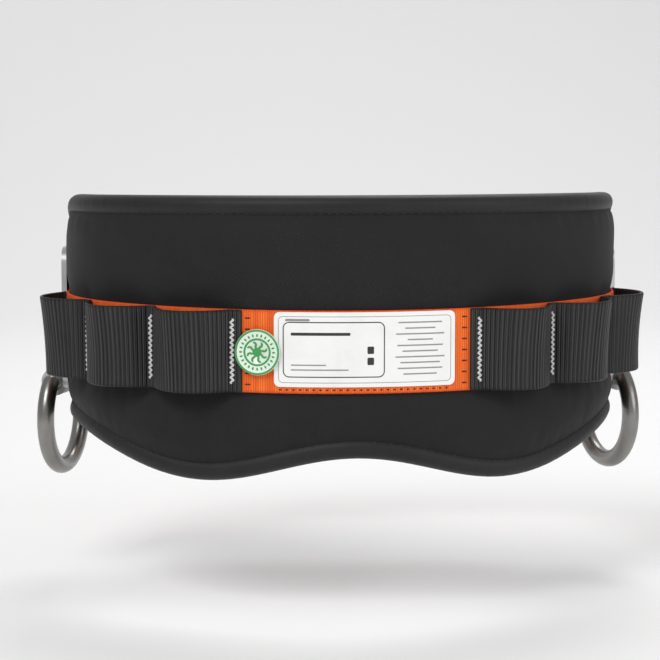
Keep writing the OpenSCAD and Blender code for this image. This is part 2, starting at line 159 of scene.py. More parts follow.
class Graph:
    """The node tree of one material."""

    def __init__(self, name: str) -> None:
        """Makes a material with one Principled shader.

        Args:
            name: the material's name.
        """
        self.material = bpy.data.materials.new(name)
        self.material.use_nodes = True
        self.tree = self.material.node_tree
        self.tree.nodes.clear()
        self.shader = self.tree.nodes.new("ShaderNodeBsdfPrincipled")
        out = self.tree.nodes.new("ShaderNodeOutputMaterial")
        self.tree.links.new(self.shader.outputs["BSDF"], out.inputs["Surface"])

    def node(self, kind: str, settings: dict[str, object] | None = None,
             inputs: dict[str | int, object] | None = None, output: str | int = 0) -> Sock:
        """Adds any node: its settings first, then the values or links of its sockets.

        Args:
            kind: the node's type.
            settings: attributes to set on the node.
            inputs: socket name or number to a value or a Sock.
            output: which output to return.

        Returns:
            The chosen output.
        """
        made = self.tree.nodes.new(kind)
        for key, value in (settings or {}).items():
            setattr(made, key, value)
        for key, value in (inputs or {}).items():
            if isinstance(value, Sock):
                self.tree.links.new(value.socket, made.inputs[key])
            else:
                made.inputs[key].default_value = value
        return Sock(self, made.outputs[output])

    def place(self) -> Sock:
        """Object coordinates, which are metres in the belt's own frame."""
        return self.node("ShaderNodeTexCoord", output="Object")

    def along(self, name: str = "cloth") -> tuple[Sock, Sock]:
        """Distance along and across a strip in metres, from its UV map."""
        uv = self.node("ShaderNodeUVMap", {"uv_map": name})
        parts = self.node("ShaderNodeSeparateXYZ", inputs={0: uv})
        node = parts.socket.node
        return Sock(self, node.outputs[0]), Sock(self, node.outputs[1])

    def noise(self, scale: float, detail: float = 3.0, rough: float = 0.55,
              vector: Sock | None = None) -> Sock:
        """Noise from 0 to 1 with so many cells in a metre."""
        return self.node("ShaderNodeTexNoise", {"noise_dimensions": "3D"},
                         {"Vector": vector or self.place(), "Scale": scale, "Detail": detail,
                          "Roughness": rough})

    def mix(self, factor: Sock | float, a: object, b: object) -> Sock:
        """A colour between a and b.

        Args:
            factor: 0 for a, 1 for b.
            a: a colour or a Sock.
            b: a colour or a Sock.

        Returns:
            The mixed colour.
        """
        made = self.tree.nodes.new("ShaderNodeMix")
        made.data_type = "RGBA"
        for index, value in ((0, factor), (6, a), (7, b)):
            if isinstance(value, Sock):
                self.tree.links.new(value.socket, made.inputs[index])
            else:
                made.inputs[index].default_value = value
        return Sock(self, made.outputs[2])

    def combine(self, x: Sock | float, y: Sock | float, z: Sock | float = 0.0) -> Sock:
        """A vector from three values."""
        return self.node("ShaderNodeCombineXYZ", inputs={0: x, 1: y, 2: z})

    def feed(self, name: str, value: Sock) -> None:
        """Links a value to one of the shader's sockets."""
        self.tree.links.new(value.socket, self.shader.inputs[name])

    def fix(self, **numbers: object) -> None:
        """Sets the shader's own uniform values, with underscores for spaces in names."""
        for key, value in numbers.items():
            self.shader.inputs[key.replace("_", " ")].default_value = value

    def bump(self, height: Sock, distance: float, strength: float = 1.0) -> None:
        """Feeds a height in 0..1 to the normal."""
        normal = self.node("ShaderNodeBump", inputs={"Height": height, "Distance": distance,
                                                     "Strength": strength})
        self.feed("Normal", normal)


# ---------------------------------------------------------------- finishes


@dataclass(frozen=True)
class Knit:
    """Laminated stretch cloth: fine ribs with painted highlights, faint mottling and a soft
    sheen.

    Attributes:
        name: the material's name.
        colour: base colour.
        wale: distance between ribs.
        rough: roughness.
        relief: depth of the ribs.
        sheen: how much light grazes off the fibres.
    """

    name: str
    colour: str
    wale: float = 0.9 * MM
    rough: float = 0.78
    relief: float = 0.10 * MM
    sheen: float = 0.04

    def make(self) -> bpy.types.Material:
        """Builds the material."""
        g = Graph(self.name)
        s, t = g.along()
        turn = 2 * math.pi / self.wale
        rib = ((s * turn).sin() * (t * turn * 0.62).sin()) * 0.5 + 0.5
        mottle = g.noise(38, 4)
        lint = g.noise(900, 2).ramp(0.66, 0.78)
        base = srgb(self.colour)
        # painted highlight colour: a paler copy of the base, mixed onto the rib crests below
        light = tuple(min(1.0, c * 1.55 + 0.004) for c in base[:3]) + (1.0,)
        dark = tuple(c * 0.62 for c in base[:3]) + (1.0,)
        tone = g.mix(mottle.ramp(0.3, 0.7), dark, base)
        # painted highlight: the rib crests are lightened toward the paler colour
        tone = g.mix(rib * 0.35, tone, light)
        g.feed("Base Color", g.mix(lint * 0.10, tone, srgb("#6a6a6c")))
        g.feed("Roughness", mottle * 0.12 + (self.rough - 0.06))
        g.bump(rib * 0.8 + g.noise(1400, 2) * 0.35, self.relief)
        g.fix(Sheen_Weight=self.sheen, Sheen_Roughness=0.45, Specular_IOR_Level=0.3)
        return g.material


@dataclass(frozen=True)
class Mesh3D:
    """Spacer mesh: small round cells pressed into the cloth, with painted shade in them.

    Attributes:
        name: the material's name.
        colour: base colour.
        cell: distance between cells.
    """

    name: str
    colour: str
    cell: float = 3.2 * MM

    def make(self) -> bpy.types.Material:
        """Builds the material."""
        g = Graph(self.name)
        s, t = g.along()
        turn = math.pi / self.cell
        wave = (s * turn).sin().abs() * (t * turn).sin().abs()
        hole = wave.ramp(0.45, 0.75)
        base = srgb(self.colour)
        # painted shade: the cells are darkened to a third of the base colour
        g.feed("Base Color", g.mix(hole, base, tuple(c * 0.3 for c in base[:3]) + (1.0,)))
        g.feed("Roughness", hole * 0.1 + 0.82)
        g.bump((hole * -1.0 + 1.0) * 0.8 + g.noise(1200, 2) * 0.3, 0.5 * MM)
        g.fix(Sheen_Weight=0.12, Specular_IOR_Level=0.2)
        return g.material


@dataclass(frozen=True)
class Weave:
    """Woven strap: yarn ribs across the strap, painted shade and a fine weave between them, and
    darker edges.

    Attributes:
        name: the material's name.
        colour: colour on top of the ribs.
        shade: painted shade colour between the ribs, also used for the darker edges.
        rib: distance between ribs.
        yarn: distance between yarns across the strap.
        band: how strongly the wide bands show.
        cord: distance between heavy ribs whose grooves get near-black painted shade, if it has
            them.
        half: half the strap's width.
        rough: roughness.
        sheen: how much light grazes off the yarn.
    """

    name: str
    colour: str
    shade: str
    rib: float = 1.15 * MM
    yarn: float = 1.0 * MM
    band: float = 0.3
    cord: float = 0.0
    half: float = 22.5 * MM
    rough: float = 0.62
    sheen: float = 0.2

    def make(self) -> bpy.types.Material:
        """Builds the material."""
        g = Graph(self.name)
        s, t = g.along()
        rib = (s * (math.pi / self.rib)).sin().abs()
        row = (s / self.rib).floor()
        yarn = ((t / self.yarn + row * 0.5) * math.pi).sin().abs()
        cloth = rib.power(0.6) * (yarn * 0.45 + 0.55)
        band = g.noise(240, 1, 0.4, g.combine(s, t * 0.01)).ramp(0.35, 0.65)
        wear = g.noise(60, 4).ramp(0.35, 0.75)
        edge = (t.abs() / self.half).ramp(0.9, 1.0)
        top, low = srgb(self.colour), srgb(self.shade)
        # painted shade: the troughs between ribs and yarns take the shade colour
        tone = g.mix(cloth.ramp(0.15, 0.7), low, top)
        tone = g.mix(band * self.band, tone, low)
        tone = g.mix(edge * 0.7, tone, low)
        if self.cord:
            # painted shade: the grooves between heavy ribs are darkened to near black
            groove = 1 - (s * (math.pi / self.cord)).sin().abs()
            tone = g.mix(groove.ramp(0.45, 0.85), tone, (0.001, 0.001, 0.001, 1))
        g.feed("Base Color", g.mix(wear * 0.12, tone, low))
        g.feed("Roughness", cloth * -0.12 + (self.rough + 0.08))
        g.bump(cloth + band * 0.4, 0.28 * MM)
        g.fix(Sheen_Weight=self.sheen, Sheen_Roughness=0.4, Specular_IOR_Level=0.3)
        return g.material


@dataclass(frozen=True)
class Thread:
    """Twisted sewing thread, with painted shade between its plies.

    Attributes:
        name: the material's name.
        colour: base colour.
        rough: roughness.
    """

    name: str
    colour: str
    rough: float = 0.5

    def make(self) -> bpy.types.Material:
        """Builds the material."""
        g = Graph(self.name)
        s, t = g.along()
        ply = ((s * 1.0 + t * 0.6) * (math.pi / (0.45 * MM))).sin().abs()
        base = srgb(self.colour)
        # painted shade: the grooves between plies are darkened
        g.feed("Base Color", g.mix(ply * 0.45, base, tuple(c * 0.55 for c in base[:3]) + (1.0,)))
        g.feed("Roughness", ply * 0.15 + self.rough)
        g.bump(1 - ply, 0.12 * MM)
        g.fix(Sheen_Weight=0.1)
        return g.material


@dataclass(frozen=True)
class Steel:
    """Plated or polished steel with drawn lines, small scratches and dull patches.

    Attributes:
        name: the material's name.
        colour: reflected colour.
        rough: mean roughness.
        grain: how strongly the drawn lines show.
        lines: how far the lines are stretched, as a scale on each axis.
    """

    name: str
    colour: str
    rough: float = 0.3
    grain: float = 0.5
    lines: tuple[float, float, float] = (60.0, 60.0, 1800.0)

    def make(self) -> bpy.types.Material:
        """Builds the material."""
        g = Graph(self.name)
        drawn = g.node("ShaderNodeVectorMath", {"operation": "MULTIPLY"},
                       {0: g.place(), 1: self.lines})
        line = g.noise(1.0, 3, 0.6, drawn)
        patch = g.noise(45, 4)
        nick = g.noise(420, 2).ramp(0.68, 0.74)
        base = srgb(self.colour)
        dull = tuple(c * 0.62 for c in base[:3]) + (1.0,)
        tone = g.mix(patch.ramp(0.4, 0.75) * 0.45, base, dull)
        g.feed("Base Color", g.mix(nick * 0.4, tone, srgb("#5b5a57")))
        g.feed("Roughness", line * (0.25 * self.grain) + patch * 0.14 + (self.rough - 0.1))
        g.bump(line * self.grain + nick * -0.6, 0.05 * MM)
        g.fix(Metallic=1.0)
        return g.material


@dataclass(frozen=True)
class Coated:
    """Smooth coated or moulded plastic with a slight orange-peel.

    Attributes:
        name: the material's name.
        colour: base colour.
        rough: roughness.
        coat: weight of the clear coat.
    """

    name: str
    colour: str
    rough: float = 0.35
    coat: float = 0.15

    def make(self) -> bpy.types.Material:
        """Builds the material."""
        g = Graph(self.name)
        peel = g.noise(700, 2)
        smudge = g.noise(55, 4)
        base = srgb(self.colour)
        dull = tuple(c * 0.86 for c in base[:3]) + (1.0,)
        g.feed("Base Color", g.mix(smudge.ramp(0.45, 0.8) * 0.5, base, dull))
        g.feed("Roughness", smudge * 0.16 + (self.rough - 0.08))
        g.bump(peel, 0.04 * MM)
        g.fix(Coat_Weight=self.coat, Coat_Roughness=0.25)
        return g.material


class Finish(Enum):
    """The belt's finishes, each with its recipe."""

    PAD = Knit("pad_cloth", "#1b1b1c", sheen=0.06)
    TAPE = Knit("rolled_tape", "#1e1e1f", wale=0.7 * MM, rough=0.5, relief=0.06 * MM,
                sheen=0.04)
    LINING = Mesh3D("lining_mesh", "#2f2f31")
    ORANGE = Weave("orange_strap", "#ff8232", "#e24a14", rib=1.3 * MM, band=0.5, rough=0.7,
                   sheen=0.0)
    BLACK = Weave("black_strap", "#3e3e40", "#0b0b0c", rib=1.2 * MM, band=0.4,
                  cord=2.45 * MM, rough=0.4, sheen=0.03)
    ELASTIC = Weave("elastic_band", "#2c2c2e", "#101011", rib=0.8 * MM, band=0.1,
                    half=24 * MM, rough=0.7, sheen=0.02)
    WHITE_THREAD = Thread("tack_thread", "#f4f4f1")
    BLACK_THREAD = Thread("edge_thread", "#1b1b1c", 0.6)
    RED_THREAD = Thread("red_thread", "#5a1a0c", 0.6)
    PLATE = Steel("plated_steel", "#b9b9b8", rough=0.34, grain=0.7)
    RING = Steel("ring_steel", "#8e8d8a", rough=0.3, grain=0.25, lines=(500.0, 500.0, 500.0))
    KNURL = Steel("knurled_steel", "#8f8f8e", rough=0.36, grain=0.9)
    LABEL = Coated("label_face", "#f4f4f2", rough=0.4)
    PRINT = Coated("label_print", "#8e9092", rough=0.6, coat=0.0)
    DARK_PRINT = Coated("label_dark_print", "#2e2f31", rough=0.6, coat=0.0)
    MINT = Coated("badge_mint", "#e2f2e3", rough=0.35)
    GREEN = Coated("badge_leaf", "#3d9a4c", rough=0.38)

    def material(self) -> bpy.types.Material:
        """The finish's material, made once."""
        found = bpy.data.materials.get(self.value.name)
        return found or self.value.make()


# ---------------------------------------------------------------- mesh tools


def add_mesh(name: str, points: Array, faces: Sequence[Sequence[int]], finish: Finish,
             uv: Array | None = None, smooth: bool = True) -> bpy.types.Object:
    """Makes an object from points and faces.

    Args:
        name: the piece's name.
        points: n by 3 places in metres.
        faces: lists of point numbers.
        finish: what it is made of.
        uv: n by 2 distances along and across the cloth, stored as the map "cloth".
        smooth: whether the faces shade smoothly.

    Returns:
        The new object.
    """
    mesh = bpy.data.meshes.new(name)
    mesh.from_pydata([tuple(p) for p in points], [], [tuple(f) for f in faces])
    shape = bmesh.new()
    shape.from_mesh(mesh)
    bmesh.ops.recalc_face_normals(shape, faces=shape.faces)
    shape.to_mesh(mesh)
    shape.free()
    if uv is not None:
        layer = mesh.uv_layers.new(name="cloth")
        index = np.empty(len(mesh.loops), np.int64)
        mesh.loops.foreach_get("vertex_index", index)
        layer.data.foreach_set("uv", np.asarray(uv, np.float32)[index].ravel())
    mesh.shade_smooth() if smooth else mesh.shade_flat()
    obj = bpy.data.objects.new(name, mesh)
    bpy.context.scene.collection.objects.link(obj)
    mesh.materials.append(finish.material())
    return obj


def ring_faces(rings: int, sides: int, closed: bool = False, caps: bool = True) -> list:
    """Faces of a tube of rings.

    Args:
        rings: how many rings.
        sides: how many points each ring has.
        closed: whether the last ring joins the first.
        caps: whether an open tube has its ends closed.

    Returns:
        Lists of point numbers.
    """
    faces = []
    for i in range(rings if closed else rings - 1):
        a, b = i * sides, (i + 1) % rings * sides
        for j in range(sides):
            k = (j + 1) % sides
            faces.append((a + j, a + k, b + k, b + j))
    if caps and not closed:
        faces.append(tuple(range(sides - 1, -1, -1)))
        faces.append(tuple((rings - 1) * sides + j for j in range(sides)))
    return faces


def path_frames(path: Array, closed: bool = False) -> tuple[Array, Array]:
    """Unit headings and lengths so far along a path.

    Args:
        path: n by 3 points.
        closed: whether the path joins its start.

    Returns:
        Headings, n by 3, and distances, n.
    """
    if closed:
        ahead = np.roll(path, -1, 0) - np.roll(path, 1, 0)
    else:
        ahead = np.gradient(path, axis=0)
    size = np.linalg.norm(ahead, axis=1, keepdims=True)
    steps = np.linalg.norm(np.diff(path, axis=0), axis=1)
    return ahead / np.maximum(size, 1e-12), np.concatenate([[0], np.cumsum(steps)])


def tube(name: str, path: Array, radius: float, up: Array, finish: Finish, sides: int = 8,
         flat: float = 1.0, closed: bool = False) -> bpy.types.Object:
    """A thread or cord along a path, rounded off at its ends.

    Args:
        name: the piece's name.
        path: n by 3 points.
        radius: half its width.
        up: n by 3 directions in which it may be flattened.
        finish: what it is made of.
        sides: points round it.
        flat: height over width.
        closed: whether the path joins its start.

    Returns:
        The new object.
    """
    heading, length = path_frames(path, closed)
    side = np.cross(heading, up)
    side /= np.maximum(np.linalg.norm(side, axis=1, keepdims=True), 1e-12)
    lift = np.cross(side, heading)
    n = len(path)
    scale = np.ones(n)
    if not closed:
        scale[0] = scale[-1] = 0.35
    turn = np.arange(sides) * 2 * math.pi / sides
    points = (path[:, None] + (side[:, None] * np.cos(turn)[None, :, None]
              + lift[:, None] * (flat * np.sin(turn))[None, :, None])
              * (radius * scale)[:, None, None])
    uv = np.stack([np.repeat(length, sides), np.tile(turn * radius, n)], 1)
    return add_mesh(name, points.reshape(-1, 3), ring_faces(n, sides, closed), finish, uv)


def join(name: str, parts: Sequence[bpy.types.Object]) -> bpy.types.Object:
    """Joins objects into one.

    Args:
        name: the joined piece's name.
        parts: the objects, all meshes.

    Returns:
        The joined object.
    """
    for obj in bpy.context.selected_objects:
        obj.select_set(False)
    for obj in parts:
        obj.select_set(True)
    bpy.context.view_layer.objects.active = parts[0]
    bpy.ops.object.join()
    parts[0].name = name
    parts[0].data.name = name
    return parts[0]


def bake(obj: bpy.types.Object) -> None:
    """Applies all of an object's modifiers to its mesh.

    Args:
        obj: the object.
    """
    depsgraph = bpy.context.evaluated_depsgraph_get()
    final = bpy.data.meshes.new_from_object(obj.evaluated_get(depsgraph))
    obj.modifiers.clear()
    old = obj.data
    obj.data = final
    final.name = obj.name
    bpy.data.meshes.remove(old)


def subdivide(obj: bpy.types.Object, levels: int = 1) -> None:
    """Applies smooth subdivision."""
    modifier = obj.modifiers.new("smooth", "SUBSURF")
    modifier.levels = modifier.render_levels = levels
    bake(obj)


def ride(obj: bpy.types.Object, body: str, slot: str, *nodes: str) -> bpy.types.Object:
    """Puts a piece on a body and hides the nodes that it stands for."""
    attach(obj, body)
    if nodes:
        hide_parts(*nodes)
    return obj


def smooth_noise(x: Array, seed: float, octaves: int = 3) -> Array:
    """A smooth repeatable wobble about 0, for any real numbers.

    Args:
        x: where to read it; one unit is one bend.
        seed: which wobble.
        octaves: how many finer wobbles are added.

    Returns:
        Values from about -1 to 1.
    """
    total = np.zeros_like(x, dtype=float)
    for k in range(octaves):
        f = 2.03 ** k
        total += (np.sin(x * f * 1.7 + seed * 3.1 + k) + np.sin(x * f * 2.9 + seed * 7.3)) / 2 / f
    return total / 1.6


def ease(t: Array | float) -> Array:
    """0 to 1 along half a cosine, held at both ends."""
    return (1 - np.cos(math.pi * np.clip(t, 0, 1))) / 2


# ---------------------------------------------------------------- the line of the belt


@dataclass
class BeltLine:
    """The belt seen from above: a back arc, two side arcs and a straight front.

    Attributes:
        half_w: half the width outside the pad.
        back_d: distance of the pad's back from the side bends' centres.
        side_r: radius of each side bend.
        gap: space between layers.
        web_t: thickness of the waist webbing.
        strip_t: thickness of the tool-loop strip.
        seat: how far the webbing lifts off the front line at the buckle.
        loop_r: radius of its turns at the buckle.
        side_x: X of each side bend's centre.
        back_r: radius of the back.
        back_turn: half the turn of the back.
        back_l: half the length of the back.
        side_l: length of a side bend.
        half_l: half the belt's length.
    """

    half_w: float
    back_d: float
    side_r: float
    gap: float = 0.3 * MM
    web_t: float = 2.0 * MM
    strip_t: float = 1.8 * MM
    seat: float = 1 * MM
    loop_r: float = 3.3 * MM
    side_x: float = field(init=False)
    back_r: float = field(init=False)
    back_turn: float = field(init=False)
    back_l: float = field(init=False)
    side_l: float = field(init=False)
    half_l: float = field(init=False)

    def __post_init__(self) -> None:
        """Works out the arcs."""
        x, d, r = self.half_w - self.side_r, self.back_d, self.side_r
        self.side_x = x
        self.back_r = (x * x + d * d - r * r) / (2 * (d - r))
        self.back_turn = math.asin(x / (self.back_r - r))
        self.back_l = self.back_r * self.back_turn
        self.side_l = r * (math.pi - self.back_turn)
        self.half_l = self.back_l + self.side_l + x

    @classmethod
    def from_frame(cls) -> BeltLine:
        """Reads the belt's size from the frame."""
        low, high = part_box("pad_cover")
        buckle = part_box("buckle_bar")
        bar_u = cls.gap + cls.web_t / 2 + cls.seat + cls.loop_r
        return cls(high[0], -low[1], (buckle[0][1] + buckle[1][1]) / 2 - bar_u)

    def turn(self, s: Array | float) -> Array:
        """Turn of the line at s, in radians, with the sign of s.

        Args:
            s: places along the belt.

        Returns:
            The turns.
        """
        a = np.abs(s)
        back = a / self.back_r
        side = self.back_turn + (a - self.back_l) / self.side_r
        value = np.where(a < self.back_l, back,
                         np.where(a < self.back_l + self.side_l, side, math.pi))
        return np.copysign(value, s)

    def at(self, s: Array | float, u: Array | float, z: Array | float) -> Array:
        """Places for s, u and z, as an array whose last axis is X, Y, Z.

        Args:
            s: distance along the belt.
            u: distance outside the pad.
            z: height.

        Returns:
            The places.
        """
        s, u, z = np.broadcast_arrays(*(np.asarray(v, float) for v in (s, u, z)))
        a, t = np.abs(s), np.abs(self.turn(s))
        back_y = self.back_r - self.back_d
        x = np.where(a < self.back_l, (self.back_r + u) * np.sin(t),
                     np.where(a < self.back_l + self.side_l,
                              self.side_x + (self.side_r + u) * np.sin(t), self.half_l - a))
        y = np.where(a < self.back_l, back_y - (self.back_r + u) * np.cos(t),
                     np.where(a < self.back_l + self.side_l, -(self.side_r + u) * np.cos(t),
                              self.side_r + u))
        return np.stack([np.copysign(1, s) * x, y, z], -1)

    def out(self, s: Array | float) -> Array:
        """Outward directions at s."""
        t = self.turn(s)
        return np.stack([np.sin(t), -np.cos(t), np.zeros_like(t)], -1)

    @property
    def web_u(self) -> float:
        """Middle of the waist webbing."""
        return self.gap + self.web_t / 2

    @property
    def over_u(self) -> float:
        """Middle of a second layer of webbing."""
        return self.web_u + self.web_t + self.gap

    @property
    def top_u(self) -> float:
        """Outer face of the waist webbing."""
        return self.gap + self.web_t


def strap(name: str, path: Array, normal: Array, half_w: float, half_t: float, finish: Finish,
          rib: float = 0.0, pitch: float = 2.4 * MM, middle: float = 0.0, closed: bool = False,
          across: Array | None = None) -> bpy.types.Object:
    """A woven strap along a path, with soft edges and raised ribs across it.

    Args:
        name: the piece's name.
        path: n by 3 points of its middle.
        normal: n by 3 directions of its outer face.
        half_w: half its width.
        half_t: half its thickness.
        finish: what it is made of.
        rib: height of the ribs.
        pitch: distance between ribs.
        middle: shift of the strap's middle along the across direction.
        closed: whether the path joins its start.
        across: direction of its width, upwards when it isn't given.

    Returns:
        The new object.
    """
    wide = np.array([0.0, 0.0, 1.0]) if across is None else across
    t = np.array([-1, -0.985, -0.955, -0.9, -0.7, -0.45, -0.2, 0.0])
    t = np.concatenate([t, -t[-2::-1]])
    full = np.sqrt(np.clip(1 - ((np.abs(t) - 0.955) / 0.045).clip(0, 1) ** 2, 0.08, 1))
    _, length = path_frames(path)
    main = np.abs(np.sin(math.pi * length / pitch)) ** 0.7 - 0.6
    fine = np.abs(np.sin(2 * math.pi * length / pitch + 0.6)) - 0.6
    height = rib * (main + 0.3 * fine)
    if not closed:
        height[:2] = height[-2:] = -0.5 * half_t
    n, m = len(path), len(t)
    face = half_t * full[None] + height[:, None] * full[None] ** 2
    rows = np.concatenate([face, -face[:, ::-1]], 1)
    spread = np.concatenate([t, t[::-1]]) * half_w + middle
    points = (path[:, None] + normal[:, None] * rows[:, :, None]
              + wide * spread[None, :, None])
    uv = np.stack([np.repeat(length, 2 * m), np.tile(spread, n)], 1)
    return add_mesh(name, points.reshape(-1, 3), ring_faces(n, 2 * m, closed), finish, uv)


def dashes(name: str, runs: Sequence[tuple[Array, Array]], radius: float, finish: Finish,
           flat: float = 0.6) -> bpy.types.Object:
    """Many short threads joined into one piece.

    Args:
        name: the piece's name.
        runs: a path and its outward directions for each thread.
        radius: half a thread's width.
        finish: what they are made of.
        flat: height over width.

    Returns:
        The joined object.
    """
    return join(name, [tube(name, p, radius, up, finish, 6, flat) for p, up in runs])


def resample(points: Array, step: float, closed: bool = False) -> Array:
    """Evenly spaced points along a path.

    Args:
        points: n by 2 or 3 points; a closed path repeats its first point at the end.
        step: spacing.
        closed: whether the last point is left out, because it is the first.

    Returns:
        The new points.
    """
    gone = np.concatenate([[0], np.cumsum(np.linalg.norm(np.diff(points, axis=0), axis=1))])
    keep = np.concatenate([[True], np.diff(gone) > 1e-6])
    at = np.linspace(0, gone[-1], int(gone[-1] / step), endpoint=not closed)
    return np.stack([np.interp(at, gone[keep], points[keep, k])
                     for k in range(points.shape[1])], 1)


def rounded_loop(x0: float, x1: float, y0: float, y1: float, radius: float,
                 step: float, count: int) -> Array:
    """Evenly spaced points round a rectangle with round corners.

    Args:
        x0: lowest x.
        x1: highest x.
        y0: lowest y.
        y1: highest y.
        radius: radius of its corners.
        step: spacing.
        count: how many points each corner has before they are spaced.

    Returns:
        n by 2 points.
    """
    turn = np.linspace(0, math.pi / 2, count)
    loop = []
    for k, (x, y) in enumerate(((x1, y1), (x0, y1), (x0, y0), (x1, y0))):
        centre_x = x - math.copysign(radius, x - (x0 + x1) / 2)
        centre_y = y - math.copysign(radius, y - (y0 + y1) / 2)
        angle = turn + k * math.pi / 2
        loop.append(np.stack([centre_x + radius * np.cos(angle),
                              centre_y + radius * np.sin(angle)], 1))
    return resample(np.concatenate(loop + [loop[0][:1]]), step, True)


def quilt(name: str, outer: Array, inner: Array, uv: Array,
          finish: Finish) -> bpy.types.Object:
    """A closed body between two sheets of points, joined round their edge.

    Args:
        name: the piece's name.
        outer: rows by columns by 3 points.
        inner: the same for the other sheet.
        uv: rows by columns by 2 distances along and across the cloth.
        finish: what it is made of.

    Returns:
        The new object.
    """
    rows, columns, _ = outer.shape
    index = np.arange(rows * columns).reshape(rows, columns)
    a = index[:-1, :-1].ravel()
    front = np.stack([a, a + columns, a + columns + 1, a + 1], 1)
    faces = [*front.tolist(), *(front[:, ::-1] + index.size).tolist()]
    border = np.concatenate([index[:-1, 0], index[-1, :-1], index[:0:-1, -1],
                             index[0, :0:-1]])
    for p, q in zip(border.tolist(), np.roll(border, -1).tolist()):
        faces.append((q, p, p + index.size, q + index.size))
    points = np.concatenate([outer.reshape(-1, 3), inner.reshape(-1, 3)])
    return add_mesh(name, points, faces, finish, np.tile(uv.reshape(-1, 2), (2, 1)))


# ---------------------------------------------------------------- soft pieces


@dataclass
class Pad:
    """The foam pad with its cloth, its mesh lining and its rolled binding.

    Attributes:
        line: the belt's line.
        reach: how far the pad runs each side of the middle.
        thick: thickness of the pad.
        tape: width of the binding on each face.
        web_half: half the height that the webbing holds flat.
        puff: how far the cloth swells between webbing and binding.
        cap: most that the filled cloth may move.
        step: spacing of the mesh.
        corner: radius of the pad's end corners.
        top_slope: fall of the top edge along the back.
        top_fall: fall of the top edge round the sides.
        top_reach: where the top edge turns down.
        bottom: depth of the bottom edge at the back.
        lobe_reach: distance of each lobe from the middle.
        side_bottom: depth of the bottom edge at the sides.
        side_reach: where that depth is reached.
        end_bottom: depth of the bottom edge at the ends.
        taper_reach: where the bottom edge starts to rise to it.
        rim_step: spacing of the points round the edge.
        tape_t: thickness of the rolled binding.
        stitch: length of an edge stitch, in points of the rim.
        channel: distance between the channels in the lining.
        top: height of its highest point.
        low: height of its lowest point.
        rim: points round its edge.
    """

    line: BeltLine
    reach: float = 300 * MM
    thick: float = 12 * MM
    tape: float = 9 * MM
    web_half: float = 23.5 * MM
    puff: float = 2.0 * MM
    cap: float = 1.1 * MM
    step: float = 2.6 * MM
    corner: float = 17 * MM
    top_slope: float = 9.8 * MM
    top_fall: float = 36 * MM
    top_reach: float = 195 * MM
    bottom: float = 57.4 * MM
    lobe_reach: float = 89 * MM
    side_bottom: float = 50 * MM
    side_reach: float = 205 * MM
    end_bottom: float = 33 * MM
    taper_reach: float = 235 * MM
    rim_step: float = 1.5 * MM
    tape_t: float = 0.75 * MM
    stitch: int = 3
    channel: float = 60 * MM
    top: float = field(init=False)
    low: float = field(init=False)
    rim: Array = field(init=False)

    def __post_init__(self) -> None:
        """Reads the pad's height and works out its outline."""
        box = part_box("pad_cover")
        self.top, self.low = box[1][2], box[0][2]
        self.rim = self.outline(self.rim_step)

    def edges(self, s: Array) -> tuple[Array, Array]:
        """Heights of the lower and upper edge at s.

        Args:
            s: places along the belt.

        Returns:
            Lower and upper heights.
        """
        a = np.abs(s)
        d = np.clip(self.corner - (self.reach - a), 0, self.corner)
        rounding = self.corner - np.sqrt(self.corner ** 2 - d ** 2)
        turned = ease((a - self.top_reach) / (self.reach - self.top_reach))
        upper = (self.top - self.top_slope * (a / self.reach) ** 2
                 - self.top_fall * turned - rounding)
        risen = ease((a - self.lobe_reach) / (self.side_reach - self.lobe_reach))
        tapered = ease((a - self.taper_reach) / (self.reach - self.taper_reach))
        lower = (-self.bottom + (self.low + self.bottom) * ease(a / self.lobe_reach)
                 - (self.low + self.side_bottom) * risen
                 + (self.side_bottom - self.end_bottom) * tapered + rounding)
        return lower, upper

    def outline(self, step: float) -> Array:
        """Points round the pad as (s, z), evenly spaced, starting at the lower middle."""
        a = np.sin(np.linspace(-1, 1, 1600) * math.pi / 2) * self.reach
        lower, upper = self.edges(a)
        loop = np.concatenate([np.stack([a, lower], 1), np.stack([a, upper], 1)[::-1]])
        loop = np.concatenate([loop, loop[:1]])
        return resample(loop, step, True)

    def inward(self) -> Array:
        """Directions into the pad at the outline's points."""
        ahead = np.roll(self.rim, -2, 0) - np.roll(self.rim, 2, 0)
        ahead /= np.linalg.norm(ahead, axis=1, keepdims=True)
        return np.stack([-ahead[:, 1], ahead[:, 0]], 1)

    def depth(self, s: Array, z: Array) -> Array:
        """Distance of places on the pad from its edge.

        Args:
            s: places along the belt.
            z: heights.

        Returns:
            Distances, in the shape of s.
        """
        flat = np.stack([s.ravel(), z.ravel()], 1)
        best = np.full(len(flat), 1.0)
        for part in np.array_split(self.rim, 24):
            gap = np.linalg.norm(flat[:, None] - part[None], axis=2).min(1)
            best = np.minimum(best, gap)
        return best.reshape(s.shape)

    def grid(self, step: float, inset: float) -> tuple[Array, Array]:
        """Rows and columns of places over the pad.

        Args:
            step: spacing.
            inset: how far inside the edge the grid stops.

        Returns:
            s and z as two arrays.
        """
        half = self.reach - inset
        columns = np.linspace(-half, half, int(2 * half / step))
        lower, upper = self.edges(columns)
        share = np.linspace(0, 1, int((self.top - self.low) / step))
        s = np.repeat(columns[:, None], len(share), 1)
        z = (lower + inset)[:, None] + (upper - lower - 2 * inset)[:, None] * share[None]
        return s, z

    def swell(self, z: Array, depth: Array) -> Array:
        """How far the cloth stands out before it is filled: none at the webbing or binding.

        Args:
            z: heights.
            depth: distances from the edge.

        Returns:
            Distances, in the shape of z.
        """
        free = np.clip((np.abs(z) - self.web_half) / (14 * MM), 0, 1)
        edge = np.clip((depth - self.tape) / (11 * MM), 0, 1)
        low = np.clip((z + self.web_half) / (-6 * MM), 0, 1)
        return self.puff * (np.sin(free * math.pi / 2) * np.sin(edge * math.pi / 2)
                            * (0.8 + 0.2 * low))

